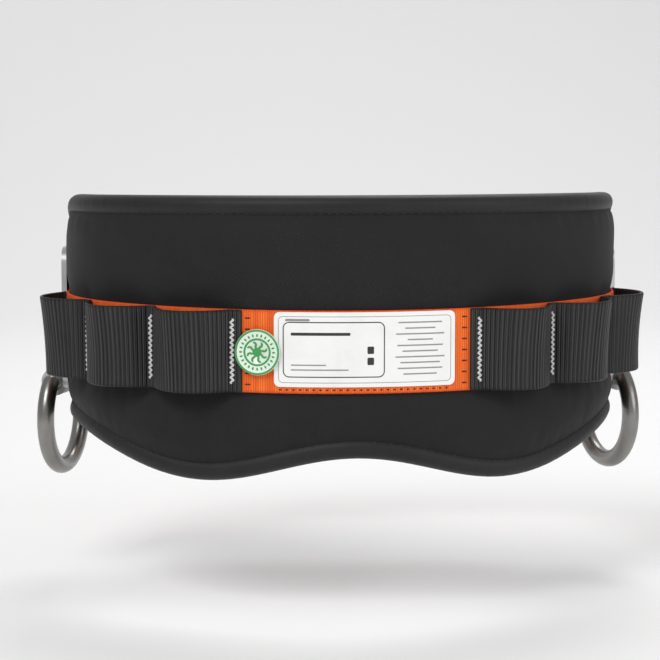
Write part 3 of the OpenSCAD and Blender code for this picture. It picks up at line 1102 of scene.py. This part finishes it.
    def shell(self) -> bpy.types.Object:
        """The closed cloth body, filled with a cloth simulation."""
        s, z = self.grid(self.step, 1.2 * MM)
        depth = self.depth(s, z)
        lip = 1.3 * MM * (1 - ease((depth - self.tape * 0.8) / (3 * MM)))
        outer = self.swell(z, depth) * 0.6 - lip
        inner = -self.thick + 1.05 * MM + lip * 0.4 + 0 * s
        outside, inside = self.line.at(s, outer, z), self.line.at(s, inner, z)
        obj = quilt("pad", outside, inside, np.stack([s, z], 2), Finish.PAD)
        rest = np.concatenate([outside.reshape(-1, 3), inside.reshape(-1, 3)])
        hold = (depth < self.tape + 0.5 * MM) | (np.abs(z) < self.web_half)
        self.fill(obj, np.concatenate([hold.ravel(), np.ones(s.size, bool)]))
        self.settle(obj, rest, s, z, depth)
        subdivide(obj)
        return obj

    def fill(self, obj: bpy.types.Object, held: Array) -> None:
        """Blows the cloth out a little with the held points kept in place.

        Args:
            obj: the closed body.
            held: which points stay.
        """
        group = obj.vertex_groups.new(name="held")
        group.add(np.flatnonzero(held).tolist(), 1.0, "REPLACE")
        cloth = obj.modifiers.new("fill", "CLOTH")
        cloth.settings.quality = 6
        cloth.settings.mass = 0.25
        cloth.settings.tension_stiffness = cloth.settings.compression_stiffness = 12
        cloth.settings.shear_stiffness = 6
        cloth.settings.bending_stiffness = 0.8
        cloth.settings.use_pressure = True
        cloth.settings.uniform_pressure_force = 4.0
        cloth.settings.effector_weights.gravity = 0
        cloth.settings.vertex_group_mass = "held"
        cloth.settings.shrink_min = -0.008
        cloth.collision_settings.use_collision = False
        cloth.point_cache.frame_start, cloth.point_cache.frame_end = 1, 20
        scene = bpy.context.scene
        for number in range(1, 21):
            scene.frame_set(number)
        bake(obj)
        scene.frame_set(1)

    def settle(self, obj: bpy.types.Object, rest: Array, s: Array, z: Array,
               depth: Array) -> None:
        """Caps the filled cloth's movement and adds puckers by the seams.

        Args:
            obj: the filled body.
            rest: its points before filling.
            s: places along the belt.
            z: heights.
            depth: distances from the edge.
        """
        count = s.size
        now = np.empty(len(obj.data.vertices) * 3, np.float32)
        obj.data.vertices.foreach_get("co", now)
        out = self.line.out(s.ravel())
        moved = ((now.reshape(-1, 3)[:count] - rest[:count]) * out).sum(1)
        moved = self.cap * np.tanh(moved / self.cap)
        swell = self.swell(z, depth).ravel()
        near = np.exp(-np.clip(depth.ravel() - self.tape, 0, 1) / (7 * MM))
        loose = np.clip(swell / self.puff * 3, 0, 1)
        pucker = smooth_noise(s.ravel() / (5 * MM), 1.7) * near * 0.5 * MM
        wave = (smooth_noise(s.ravel() / (34 * MM) + z.ravel() / (60 * MM), 4.1)
                * smooth_noise(z.ravel() / (26 * MM), 2.2, 2) * 0.45 * MM)
        total = moved + swell * 0.4 + (pucker + wave) * loose
        points = rest.copy()
        points[:count] += out * total[:, None]
        obj.data.vertices.foreach_set("co", points.astype(np.float32).ravel())
        obj.data.update()

    def binding(self) -> list[bpy.types.Object]:
        """The rolled tape round the edge, its stitches and its puckers."""
        into = self.inward()
        lift = np.array([-1.25, -0.55, 0.15, 0.75, 1.05, 1.1, 0.85, 0.25, -0.75, -2.0, -3.4,
                         -4.8, -6.0]) * MM
        deep = np.array([9.4, 8.7, 7.8, 6.6, 5.2, 3.8, 2.4, 1.1, 0.0, -0.75, -1.15, -1.3,
                         -1.3]) * MM
        half = self.thick / 2
        u = np.concatenate([lift, -2 * half - lift[-2::-1]])
        d = np.concatenate([deep, deep[-2::-1]])
        centre_u, centre_d = -half, self.tape
        way = np.stack([u - centre_u, d - centre_d], 1)
        way /= np.maximum(np.linalg.norm(way, axis=1, keepdims=True), 1e-9)
        under_u, under_d = u - way[:, 0] * self.tape_t, d - way[:, 1] * self.tape_t
        under_d[0] = under_d[-1] = d[0]
        u, d = np.concatenate([u, under_u[::-1]]), np.concatenate([d, under_d[::-1]])
        n, m = len(self.rim), len(u)
        length = np.arange(n) * self.rim_step
        crimp = smooth_noise(length / (2.3 * MM), 3.3)[:, None]
        shape = np.sin(np.linspace(0, math.pi, m // 2))
        shape = np.concatenate([shape, shape[::-1]])[None]
        s = self.rim[:, :1] + into[:, :1] * d[None]
        z = self.rim[:, 1:] + into[:, 1:] * d[None]
        u = u[None] + crimp * 0.16 * MM * shape
        points = self.line.at(s, u, z).reshape(-1, 3)
        uv = np.stack([np.repeat(length, m), np.tile(np.linspace(0, 0.052, m), n)], 1)
        roll = add_mesh("pad_binding_roll", points, ring_faces(n, m, True), Finish.TAPE, uv)
        runs = []
        for k in range(0, n - self.stitch, self.stitch):
            span = slice(k, k + self.stitch)
            piece = self.rim[span] + into[span] * 8.3 * MM
            piece -= (piece - piece[1]) * 0.18
            rise = np.array([-0.5, 0.05, -0.5]) * MM
            path = self.line.at(piece[:, 0], rise, piece[:, 1])
            runs.append((path, self.line.out(piece[:, 0])))
        stitches = dashes("pad_binding_stitches", runs, 0.42 * MM, Finish.BLACK_THREAD)
        return [roll, stitches]

    def lining(self) -> bpy.types.Object:
        """The spacer mesh next to the body, with soft channels pressed into it."""
        s, z = self.grid(3 * MM, 6 * MM)
        depth = self.depth(s, z)
        channel = np.abs(np.sin(math.pi * s / self.channel))
        dip = np.exp(-(channel / 0.09) ** 2) * 1.1 * MM
        puff = 1.3 * MM * ease((depth - self.tape) / (14 * MM))
        face = -self.thick - puff + dip * ease((depth - self.tape) / (8 * MM))
        back = -self.thick + 0.9 * MM + 0 * s
        return quilt("pad_lining_mesh", self.line.at(s, back, z),
                     self.line.at(s, face, z), np.stack([s, z], 2), Finish.LINING)

    def build(self) -> list[bpy.types.Object]:
        """Builds and dresses the pad."""
        shell = self.shell()
        ride(shell, "belt", "pad_fabric", "pad_foam", "pad_cover")
        lining = ride(self.lining(), "belt", "pad_lining", "pad_lining")
        roll, stitches = self.binding()
        ride(roll, "belt", "binding_tape", "pad_binding")
        ride(stitches, "belt", "binding_tape")
        return [shell, lining, roll, stitches]


@dataclass
class Webbing:
    """The waist webbing: round the pad, through the buckle and back under the keepers.

    Attributes:
        line: the belt's line.
        half_w: half its width.
        half_t: half its thickness.
        lift: extra height where it passes over a side plate's middle bar.
        plate_s: place of each side plate's middle.
        bar_half: half the flat on the middle bar.
        ease_l: length of each ramp.
        bar_x: X of the turn round the friction bar.
        sewn_x: X of the sewn turn.
        leg_u: height of the strap's upper leg at the buckle.
        lap_end: s where the sewn lap ends.
        tail_end: s where the free tail is folded.
        fold_end: s where its folded end stops.
        lap_tacks: s of the lap's two tacks.
        step: spacing of its rows.
    """

    line: BeltLine
    half_w: float = field(init=False)
    half_t: float = 1.0 * MM
    lift: float = 5.6 * MM
    plate_s: float = 240 * MM
    bar_half: float = 11.5 * MM
    ease_l: float = 8 * MM
    bar_x: float = -7 * MM
    sewn_x: float = -40 * MM
    leg_u: float = 8.9 * MM
    lap_end: float = -322 * MM
    tail_end: float = 318 * MM
    fold_end: float = 338 * MM
    lap_tacks: tuple[float, float] = (-328 * MM, -344 * MM)
    step: float = 0.65 * MM

    def __post_init__(self) -> None:
        """Reads the webbing's height."""
        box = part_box("belt_webbing")
        self.half_w = (box[1][2] - box[0][2]) / 2

    def waist_u(self, s: Array) -> Array:
        """Height of the webbing's middle at s."""
        a = np.abs(s)
        up = ease((a - self.plate_s + self.bar_half) / self.ease_l)
        down = ease((a - self.plate_s - self.bar_half) / self.ease_l)
        return self.line.web_u + self.lift * (up - down)

    def corners(self) -> Array:
        """The whole strap as (s, u), from the end of the lap to the end of the tail."""
        line, low, over = self.line, self.line.web_u, self.line.over_u
        seat, half_l = low + line.seat, line.half_l
        turn = np.linspace(-math.pi / 2, math.pi / 2, 15)
        lap = np.linspace(self.lap_end, -(half_l - 65 * MM), 40)
        rise = np.linspace(0, 1, 12)
        left_s = -half_l + (65 - 15 * rise) * MM
        path = [np.stack([lap, 0 * lap + over], 1),
                np.stack([left_s, over + (self.leg_u - over) * ease(rise)], 1)]
        centre = np.array([-half_l - self.sewn_x, (self.leg_u + seat) / 2])
        path.append(centre + line.loop_r * np.stack([-np.cos(turn), -np.sin(turn)], 1))
        path.append(np.stack([left_s, seat + (low - seat) * ease(1 - rise)], 1)[::-1])
        s = np.arange(-(half_l - 66 * MM), half_l - 28 * MM, 1.2 * MM)
        path.append(np.stack([s, self.waist_u(s)], 1))
        right_s = half_l - (27 - 15 * rise) * MM
        path.append(np.stack([right_s, low + (seat - low) * ease(rise)], 1))
        centre = np.array([half_l - self.bar_x, (self.leg_u + seat) / 2])
        path.append(centre + line.loop_r * np.stack([np.cos(turn), np.sin(turn)], 1))
        path.append(np.stack([right_s, self.leg_u + (over - self.leg_u) * ease(1 - rise)],
                             1)[::-1])
        tail = np.linspace(half_l - 28 * MM, self.tail_end, 60)
        path.append(np.stack([tail, 0 * tail + over], 1))
        return np.concatenate(path)

    def build(self) -> list[bpy.types.Object]:
        """Builds the strap, the folded tail end and the sewn laps."""
        web = self.piece("webbing", self.corners(), self.half_w)
        ride(web, "belt", "orange_webbing", "belt_webbing")
        fold_u = self.line.over_u + 2.3 * MM
        turn = np.linspace(-math.pi / 2, math.pi / 2, 9)
        curl = np.stack([self.tail_end - 1.1 * MM * np.cos(turn),
                         fold_u - 1.15 * MM + 1.15 * MM * np.sin(turn)], 1)[3:]
        flat = np.linspace(self.tail_end + 0.5 * MM, self.fold_end, 24)
        fold = self.piece("tail_fold_end", np.concatenate([
            curl, np.stack([flat, 0 * flat + fold_u], 1)]), self.half_w)
        ride(fold, "belt", "orange_webbing", "tail_fold")
        runs = []
        for s in self.lap_tacks:
            z = np.arange(-18 * MM, 18 * MM, 0.7 * MM)
            side = np.where(np.arange(len(z)) % 2 == 0, -1.2 * MM, 1.2 * MM)
            path = self.line.at(s + side, self.line.over_u + 1.15 * MM, z)
            runs.append((path, self.line.out(s + side)))
        tacks = dashes("lap_bartack_threads", runs, 0.35 * MM, Finish.RED_THREAD)
        ride(tacks, "belt", "dark_thread", "lap_bartacks")
        return [web, fold, tacks]

    def piece(self, name: str, corners: Array, half_w: float) -> bpy.types.Object:
        """A length of the webbing along (s, u) points.

        Args:
            name: the piece's name.
            corners: n by 2 points.
            half_w: half its width.

        Returns:
            The new object.
        """
        points = self.line.at(corners[:, 0], corners[:, 1], 0)
        path = resample(points, self.step)
        heading, _ = path_frames(path)
        normal = np.cross(heading, [0.0, 0.0, 1.0])
        normal /= np.linalg.norm(normal, axis=1, keepdims=True)
        return strap(name, path, normal, half_w, self.half_t, Finish.ORANGE,
                     rib=0.10 * MM, pitch=1.95 * MM)


@dataclass
class ToolLoops:
    """Three standing loops of ribbed webbing on one side, with zigzag tacks between them.

    Attributes:
        line: the belt's line.
        side: +1 for the right, -1 for the left.
        first: place of the first tack.
        pitch: distance between tacks.
        loops: how many loops.
        flat: half the flat at each tack.
        rise: height of a loop.
        lean: how far a loop's edges lean, as a share of its height.
        step: spacing of its rows.
    """

    line: BeltLine
    side: int
    first: float = 67 * MM
    pitch: float = 48.8 * MM
    loops: int = 3
    flat: float = 2.5 * MM
    rise: float = 14.5 * MM
    lean: float = 0.11
    step: float = 0.42 * MM

    @property
    def word(self) -> str:
        """Which side, for names."""
        return "right" if self.side > 0 else "left"

    def tacks(self) -> list[float]:
        """Places of the tacks."""
        return [self.first + self.pitch * k for k in range(self.loops + 1)]

    def strip(self) -> bpy.types.Object:
        """The strip of webbing that makes the loops."""
        base = self.line.top_u + self.line.gap + self.line.strip_t / 2
        tacks = self.tacks()
        s = np.arange(tacks[0] - 2 * self.flat, tacks[-1] + self.flat, 0.1 * MM)
        u = np.full_like(s, base)
        for a, b in zip(tacks, tacks[1:]):
            t = np.clip((s - a - self.flat) / (b - a - 2 * self.flat), 0, 1)
            u += self.rise * np.abs(np.sin(math.pi * t)) ** 0.85
        points = self.line.at(s * self.side, u, 0)
        gone = np.concatenate([[0], np.cumsum(np.linalg.norm(np.diff(points, axis=0),
                                                             axis=1))])
        at = np.linspace(0, gone[-1], int(gone[-1] / self.step))
        path = np.stack([np.interp(at, gone, points[:, k]) for k in range(3)], 1)
        heading, _ = path_frames(path)
        normal = np.cross(heading * self.side, [0.0, 0.0, 1.0])
        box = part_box(f"tool_loops_{self.word}")
        half = (box[1][2] - box[0][2]) / 2
        obj = strap(f"tool_loop_strip_{self.word}", path, normal, half,
                    self.line.strip_t / 2, Finish.BLACK, rib=0.5 * MM, pitch=2.45 * MM,
                    middle=(box[1][2] + box[0][2]) / 2)
        self.sag(obj, np.interp(at, gone, s), np.interp(at, gone, u) - base, half)
        return obj

    def sag(self, obj: bpy.types.Object, s: Array, lift: Array, half: float) -> None:
        """Lets each loop's lower edge fall in and its upper edge wander a little.

        Args:
            obj: the strip.
            s: place of each row.
            lift: height of each row above the flats.
            half: half the strip's width.
        """
        rows = np.empty(len(obj.data.vertices) * 3, np.float32)
        obj.data.vertices.foreach_get("co", rows)
        rows = rows.reshape(len(s), -1, 3)
        share = rows[:, :, 2] / half
        phase = s / self.pitch * 2.1 + self.side
        lean = self.lean * (1 + 0.5 * smooth_noise(phase, 2.7))
        drift = lift[:, None] * (lean[:, None] * share
                                 - self.lean * 0.5 * (1 - share ** 2)
                                 * (1 + smooth_noise(phase, 5.9))[:, None])
        rows += self.line.out(s * self.side)[:, None] * drift[:, :, None]
        obj.data.vertices.foreach_set("co", rows.ravel())
        obj.data.update()

    def threads(self) -> bpy.types.Object:
        """White zigzag threads over each tack."""
        low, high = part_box(f"loop_bartacks_{self.word}")
        u = self.line.top_u + self.line.gap + self.line.strip_t + 0.25 * MM
        runs = []
        for tack in self.tacks():
            count = round((high[2] - low[2]) / (1.4 * MM))
            k = np.arange(count * 4 + 1)
            z = low[2] + 0.4 * MM + (high[2] - low[2] - 0.8 * MM) * k / k[-1]
            wobble = smooth_noise(z / (3 * MM), tack * 900)
            swing = 2 / math.pi * np.arcsin(np.sin(math.pi * k / 4))
            s = (tack + (0.95 * swing + 0.08 * wobble) * MM) * self.side
            path = self.line.at(s, u + 0.12 * MM * wobble, z)
            runs.append((path, self.line.out(s)))
        return dashes(f"loop_bartack_threads_{self.word}", runs, 0.6 * MM,
                      Finish.WHITE_THREAD, 0.7)

    def build(self) -> list[bpy.types.Object]:
        """Builds the strip and its threads."""
        strip = ride(self.strip(), "belt", "black_webbing", f"tool_loops_{self.word}")
        threads = ride(self.threads(), "belt", "white_thread",
                       f"loop_bartacks_{self.word}")
        return [strip, threads]


@dataclass
class Keeper:
    """An elastic band that holds the tail of the webbing flat.

    Attributes:
        node: its CAD node.
        body: the body it slides with.
        wall: thickness of the elastic.
        corner: radius of its corners.
    """

    node: str
    body: str
    wall: float = 0.9 * MM
    corner: float = 1.6 * MM

    def build(self) -> list[bpy.types.Object]:
        """Builds the band round the two layers of webbing."""
        low, high = (np.array(v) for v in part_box(self.node))
        y0, y1 = low[1] + self.wall / 2, high[1] - self.wall / 2
        z0, z1 = low[2] + self.wall / 2, high[2] - self.wall / 2
        yz = rounded_loop(y0, y1, z0, z1, self.corner, 0.45 * MM, 6)
        path = np.concatenate([np.full((len(yz), 1), (low[0] + high[0]) / 2), yz], 1)
        heading, _ = path_frames(path, True)
        normal = np.cross(heading, [1.0, 0.0, 0.0])
        obj = strap(self.node + "_band", path, normal, (high[0] - low[0]) / 2, self.wall / 2,
                    Finish.ELASTIC, rib=0.08 * MM, pitch=1.6 * MM, closed=True,
                    across=np.array([1.0, 0.0, 0.0]))
        return [ride(obj, self.body, "elastic", self.node)]


# ---------------------------------------------------------------- label, badge and stitches


@dataclass
class Label:
    """A blank coated label sewn to the webbing, with a bare ruled form on it.

    Attributes:
        line: the belt's line.
        start: s of its left edge.
        end: s of its right edge.
        corner: radius of its corners.
        thick: thickness.
    """

    line: BeltLine
    start: float = -44.45 * MM
    end: float = 53.05 * MM
    corner: float = 3 * MM
    thick: float = 0.55 * MM

    def slab(self, name: str, s0: float, s1: float, z0: float, z1: float, radius: float,
             lift: float, thick: float, finish: Finish) -> bpy.types.Object:
        """A thin rounded plate that follows the belt.

        Args:
            name: the piece's name.
            s0: left edge.
            s1: right edge.
            z0: lower edge.
            z1: upper edge.
            radius: radius of its corners.
            lift: height of its underside above the webbing.
            thick: thickness.
            finish: what it is made of.

        Returns:
            The new object.
        """
        columns = max(6, int((s1 - s0) / (1.5 * MM)))
        k = np.linspace(0, 1, columns)
        near = radius * (1 - np.cos(np.linspace(0, math.pi / 2, 7)))
        s = np.unique(np.concatenate([s0 + near, s1 - near, s0 + (s1 - s0) * k]))
        inset = np.clip(radius - np.minimum(s - s0, s1 - s), 0, radius)
        cut = radius - np.sqrt(np.maximum(radius ** 2 - inset ** 2, 0))
        base = self.line.top_u + lift
        soft = min(0.12 * MM, thick / 3)
        rows = []
        for z, u in ((z0 + cut, base), (z0 + cut, base + thick - soft),
                     (z0 + cut + soft, base + thick), (z1 - cut - soft, base + thick),
                     (z1 - cut, base + thick - soft), (z1 - cut, base)):
            rows.append(self.line.at(s, u, z))
        points = np.stack(rows, 1)
        z = np.stack([z0 + cut, z0 + cut, z0 + cut, z1 - cut, z1 - cut, z1 - cut], 1)
        uv = np.stack([np.repeat(s, 6), z.ravel()], 1)
        return add_mesh(name, points.reshape(-1, 3), ring_faces(len(s), 6), finish, uv,
                        smooth=False)

    def frame_lines(self, s0: float, s1: float, z0: float, z1: float, radius: float,
                    width: float, finish: Finish) -> bpy.types.Object:
        """A printed rounded outline on the label's face.

        Args:
            s0: left edge.
            s1: right edge.
            z0: lower edge.
            z1: upper edge.
            radius: radius of its corners.
            width: width of the line.
            finish: what it is made of.

        Returns:
            The new object.
        """
        flat = rounded_loop(s0, s1, z0, z1, radius, MM, 7)
        u = self.line.top_u + self.line.gap + self.thick
        path = self.line.at(flat[:, 0], u, flat[:, 1])
        return tube("label_outline", path, width / 2, self.line.out(flat[:, 0]), finish, 6,
                    0.14, True)

    def build(self) -> list[bpy.types.Object]:
        """Builds the label, its blank form and the stitches round it."""
        low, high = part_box("label")
        z0, z1 = low[2], high[2]
        face = self.slab("label_plate", self.start, self.end, z0, z1, self.corner,
                         self.line.gap, self.thick, Finish.LABEL)
        ride(face, "belt", "label_vinyl", "label")
        inner, top = 2.4 * MM, self.line.gap + self.thick - 0.02 * MM
        split = self.start + (self.end - self.start) * 0.6
        thin = 0.07 * MM
        parts = [self.frame_lines(self.start + inner, self.end - inner, z0 + inner,
                                  z1 - inner, 2.2 * MM, 0.35 * MM, Finish.PRINT)]
        for k, share in enumerate((0.86, 0.6, 0.95, 0.5, 0.9, 0.7, 0.97, 0.78, 0.88, 0.66)):
            z = z1 - (6.2 + 3.1 * k) * MM
            mid = (split + self.end) / 2
            parts.append(self.slab("rule", mid - share * 14 * MM, mid + share * 14 * MM, z,
                                   z + 0.75 * MM, 0.3 * MM, top, thin, Finish.PRINT))
        for k, share in enumerate((0.9, 0.55)):
            z = z0 + (9 + 2.6 * k) * MM
            parts.append(self.slab("rule", self.start + 9 * MM,
                                   self.start + 9 * MM + share * 34 * MM, z, z + 0.7 * MM,
                                   0.3 * MM, top, thin, Finish.PRINT))
        parts.append(self.slab("rule", self.start + 6 * MM, self.start + 19 * MM,
                               z1 - 4.9 * MM, z1 - 3.6 * MM, 0.5 * MM, top, thin,
                               Finish.PRINT))
        grey = ride(join("label_rules", parts), "belt", "label_vinyl")
        parts = [self.frame_lines(self.start + 5 * MM, split, z0 + 5.5 * MM, z1 - 5.5 * MM,
                                  3 * MM, 0.6 * MM, Finish.DARK_PRINT),
                 self.slab("bar", self.start + 9 * MM, split - 18 * MM, z1 - 12.6 * MM,
                           z1 - 11 * MM, 0.6 * MM, top, thin, Finish.DARK_PRINT)]
        for k in range(2):
            z = z0 + (12 + 6 * k) * MM
            parts.append(self.slab("block", split - 9 * MM, split - 5.5 * MM, z, z + 4 * MM,
                                   0.6 * MM, top, thin, Finish.DARK_PRINT))
        dark = ride(join("label_boxes", parts), "belt", "label_vinyl")
        return [face, grey, dark, self.stitches(z0)]

    def stitches(self, z0: float) -> bpy.types.Object:
        """Dark stitches below the label and beside it.

        Args:
            z0: height of the label's lower edge.

        Returns:
            The stitches.
        """
        runs = []
        u = self.line.top_u + 0.1 * MM
        for s in np.arange(self.start + 2 * MM, self.end - 2 * MM, 3.6 * MM):
            at = s + np.linspace(0, 2.2, 4) * MM
            path = self.line.at(at, u - np.array([0.4, 0, 0, 0.4]) * MM, z0 - 1.6 * MM)
            runs.append((path, self.line.out(at)))
        for side in (-1, 1):
            for z in np.arange(-18, 19, 6.0) * MM:
                at = side * 59.03 * MM + np.linspace(-2, 2, 5) * MM
                path = self.line.at(at, u - np.array([0.4, 0, 0, 0, 0.4]) * MM, z)
                runs.append((path, self.line.out(at)))
        obj = dashes("belt_stitch_threads", runs, 0.42 * MM, Finish.RED_THREAD)
        return ride(obj, "belt", "dark_thread", "belt_stitching")


@dataclass
class Badge:
    """A round moulded badge beside the label: a rim, a ring of pips and a plain rosette.

    Attributes:
        line: the belt's line.
        at: its s.
        base: height of its underside.
        face: height of its face.
        pips: how many pips are in the ring.
        petals: how many petals the rosette has.
        foot: ends of the tab under it, along s.
        foot_half: half the tab's height.
        radius: its radius.
    """

    line: BeltLine
    at: float = -53 * MM
    base: float = 4.7 * MM
    face: float = 5.5 * MM
    pips: int = 24
    petals: int = 8
    foot: tuple[float, float] = (-54 * MM, -44.75 * MM)
    foot_half: float = 7 * MM
    radius: float = field(init=False)

    def __post_init__(self) -> None:
        """Reads the badge's radius."""
        low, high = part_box("round_badge")
        self.radius = (high[2] - low[2]) / 2

    def spot(self, share: Array | float, angle: Array | float, u: Array | float) -> Array:
        """Places on the disc.

        Args:
            share: distance from its middle, as a share of its radius.
            angle: turn about its middle, in radians.
            u: height.

        Returns:
            Points whose last axis is X, Y, Z.
        """
        share, angle, u = np.broadcast_arrays(share, angle, u)
        out = self.line.out(self.at)
        wide = np.cross(out, [0.0, 0.0, 1.0])
        reach = share[..., None] * self.radius
        return (self.line.at(self.at, 0, 0) + out * u[..., None]
                + wide * reach * np.cos(angle)[..., None]
                + np.array([0, 0, 1.0]) * reach * np.sin(angle)[..., None])

    def mark(self, path: Array, radius: float, finish: Finish, flat: float,
             closed: bool = False) -> bpy.types.Object:
        """A raised green or pale line on the badge's face."""
        up = np.repeat(self.line.out(self.at)[None], len(path), 0)
        return tube("badge_line", path, radius, up, finish, 8 if closed else 6, flat, closed)

    def disc(self) -> bpy.types.Object:
        """The disc with its raised rim."""
        face, base = self.face, self.base
        shape = np.array([(0.02, face - 0.1 * MM), (0.8, face - 0.1 * MM), (0.84, face),
                          (0.88, face + 0.25 * MM), (0.95, face + 0.25 * MM), (0.99, face),
                          (1.0, face - 0.4 * MM), (0.98, base), (0.02, base)])
        turn = np.linspace(0, 2 * math.pi, 72, endpoint=False)
        points = self.spot(shape[None, :, 0], turn[:, None], shape[None, :, 1])
        return add_mesh("badge_disc", points.reshape(-1, 3),
                        ring_faces(len(turn), len(shape), True), Finish.MINT,
                        np.zeros((len(turn) * len(shape), 2)))

    def rosette(self) -> bpy.types.Object:
        """The green rings and the curved petals."""
        turn = np.linspace(0, 2 * math.pi, 72, endpoint=False)
        parts = []
        for share, width, lift in ((0.93, 0.05, 0.2 * MM), (0.56, 0.045, -0.08 * MM),
                                   (0.1, 0.1, -0.08 * MM)):
            parts.append(self.mark(self.spot(share, turn, self.face + lift),
                                   width * self.radius, Finish.GREEN, 0.12, True))
        for k in range(self.petals):
            angle = 2 * math.pi * (k + 0.5) / self.petals
            path = self.spot(np.linspace(0.2, 0.47, 7),
                             angle + 0.25 * np.sin(np.linspace(0, math.pi, 7)),
                             self.face - 0.05 * MM)
            parts.append(self.mark(path, 0.6 * MM, Finish.GREEN, 0.25))
        return join("badge_marks", parts)

    def pip_ring(self) -> bpy.types.Object:
        """The ring of short green pips."""
        turns = [2 * math.pi * k / self.pips for k in range(self.pips)]
        return join("badge_pips", [
            self.mark(self.spot(np.linspace(0.66, 0.80, 4), turn, self.face - 0.05 * MM),
                      0.5 * MM, Finish.GREEN, 0.3) for turn in turns])

    def build(self) -> list[bpy.types.Object]:
        """Builds the disc, its raised details and the tab under it."""
        disc = ride(self.disc(), "belt", "badge_green", "round_badge")
        marks = ride(self.rosette(), "belt", "badge_green")
        pips = ride(self.pip_ring(), "belt", "badge_green")
        foot = Label(self.line).slab("badge_foot", *self.foot, -self.foot_half,
                                     self.foot_half, 1 * MM, self.line.gap, 2.2 * MM,
                                     Finish.MINT)
        return [disc, marks, pips, ride(foot, "belt", "badge_green")]


# ---------------------------------------------------------------- hard pieces


@dataclass
class Hardware:
    """The steel pieces, which keep their CAD shapes and take a finish.

    Attributes:
        finishes: each material slot's finish.
    """

    finishes: dict[str, Finish] = field(default_factory=lambda: {
        "steel_plate": Finish.PLATE, "steel_ring": Finish.RING})

    def build(self) -> list[bpy.types.Object]:
        """Gives every shown CAD node its finish."""
        shown = []
        for name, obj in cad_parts.items():
            if obj.hide_render:
                continue
            for index, slot in enumerate(obj.material_slots):
                base = slot.material.name.split(".")[0] if slot.material else ""
                finish = self.finishes.get(base, Finish.PLATE)
                if name == "buckle_bar":
                    finish = Finish.KNURL
                obj.material_slots[index].material = finish.material()
            shown.append(obj)
        return shown


# ---------------------------------------------------------------- studio


@dataclass
class Studio:
    """Plain pale floor and backdrop, soft lights and the camera.

    Attributes:
        lens: focal length.
        place: the camera's place.
        heading: turn of the view to the right of straight ahead.
        pitch: how far the view looks down.
        drop: distance of the floor under the lowest point.
    """

    lens: float = 132.1
    place: tuple[float, float, float] = (-105.6 * MM, -1404 * MM, 160.5 * MM)
    heading: float = 4.04
    pitch: float = 6.57
    drop: float = 60 * MM

    def surface(self, name: str, colour: str, rough: float) -> bpy.types.Material:
        """A plain pale surface."""
        g = Graph(name)
        g.fix(Base_Color=srgb(colour), Roughness=rough, Specular_IOR_Level=0.1)
        return g.material

    def floor(self) -> None:
        """A floor that curves up into a backdrop."""
        low = CAD_BOX[0][2] - self.drop
        size, bend = 4.0, 0.9
        turn = np.linspace(0, math.pi / 2, 20)
        y = np.concatenate([[-size], 1.4 + bend * np.sin(turn), [1.4 + bend]])
        z = np.concatenate([[0], bend * (1 - np.cos(turn)), [size]]) + low
        points = [(x, b, c) for x in (-size, size) for b, c in zip(y, z)]
        n = len(y)
        faces = [(i, n + i, n + i + 1, i + 1) for i in range(n - 1)]
        mesh = bpy.data.meshes.new("floor")
        mesh.from_pydata(points, [], faces)
        mesh.shade_smooth()
        obj = bpy.data.objects.new("floor", mesh)
        bpy.context.scene.collection.objects.link(obj)
        mesh.materials.append(self.surface("pale_floor", "#fbfbfb", 0.9))

    def lamp(self, name: str, place: tuple[float, float, float], size: float,
             power: float) -> None:
        """A square soft light aimed at the belt.

        Args:
            name: the lamp's name.
            place: where it is.
            size: length of its side.
            power: its power in watts.
        """
        data = bpy.data.lights.new(name, "AREA")
        data.size, data.energy = size, power
        obj = bpy.data.objects.new(name, data)
        obj.location = place
        obj.rotation_euler = (-Vector(place)).to_track_quat("-Z", "Y").to_euler()
        bpy.context.scene.collection.objects.link(obj)

    def build(self) -> None:
        """Sets up the floor, lights, world and camera."""
        self.floor()
        self.lamp("key", (-0.9, -1.5, 1.5), 0.9, 20)
        self.lamp("fill", (1.5, -1.2, 0.7), 1.2, 9)
        self.lamp("back", (0.3, 1.0, 1.5), 0.9, 11)
        scene = bpy.context.scene
        scene.view_settings.view_transform = "Standard"
        world = bpy.data.worlds.new("studio")
        world.use_nodes = True
        tree = world.node_tree
        ground = tree.nodes["Background"]
        ray = tree.nodes.new("ShaderNodeLightPath")
        mix = tree.nodes.new("ShaderNodeMix")
        mix.inputs["A"].default_value, mix.inputs["B"].default_value = 0.46, 1.0
        tree.links.new(ray.outputs["Is Camera Ray"], mix.inputs["Factor"])
        tree.links.new(mix.outputs["Result"], ground.inputs["Strength"])
        ground.inputs["Color"].default_value = (1, 1, 1, 1)
        scene.world = world
        data = bpy.data.cameras.new("camera")
        data.sensor_width, data.lens = 36.0, self.lens
        data.clip_start, data.clip_end = 0.05, 20
        camera = bpy.data.objects.new("camera", data)
        camera.location = self.place
        camera.rotation_euler = (math.radians(90 - self.pitch), 0, -math.radians(self.heading))
        scene.collection.objects.link(camera)
        scene.camera = camera


def main() -> None:
    """Builds every piece in order, then the studio."""
    logging.basicConfig(level=logging.INFO, format="%(message)s")
    line = BeltLine.from_frame()
    groups: list[tuple[str, Callable[[], list[bpy.types.Object]]]] = [
        ("pad", Pad(line).build), ("webbing", Webbing(line).build),
        ("left loops", ToolLoops(line, -1).build), ("right loops", ToolLoops(line, 1).build),
        ("near keeper", Keeper("keeper_near", "near_keeper").build),
        ("far keeper", Keeper("keeper_far", "far_keeper").build),
        ("label", Label(line).build), ("badge", Badge(line).build),
        ("hardware", Hardware().build)]
    for name, build in groups:
        for obj in build():
            LOG.info("%s: %s, %d faces", name, obj.name, len(obj.data.polygons))
    Studio().build()
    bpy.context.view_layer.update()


if __name__ == "__main__":
    main()
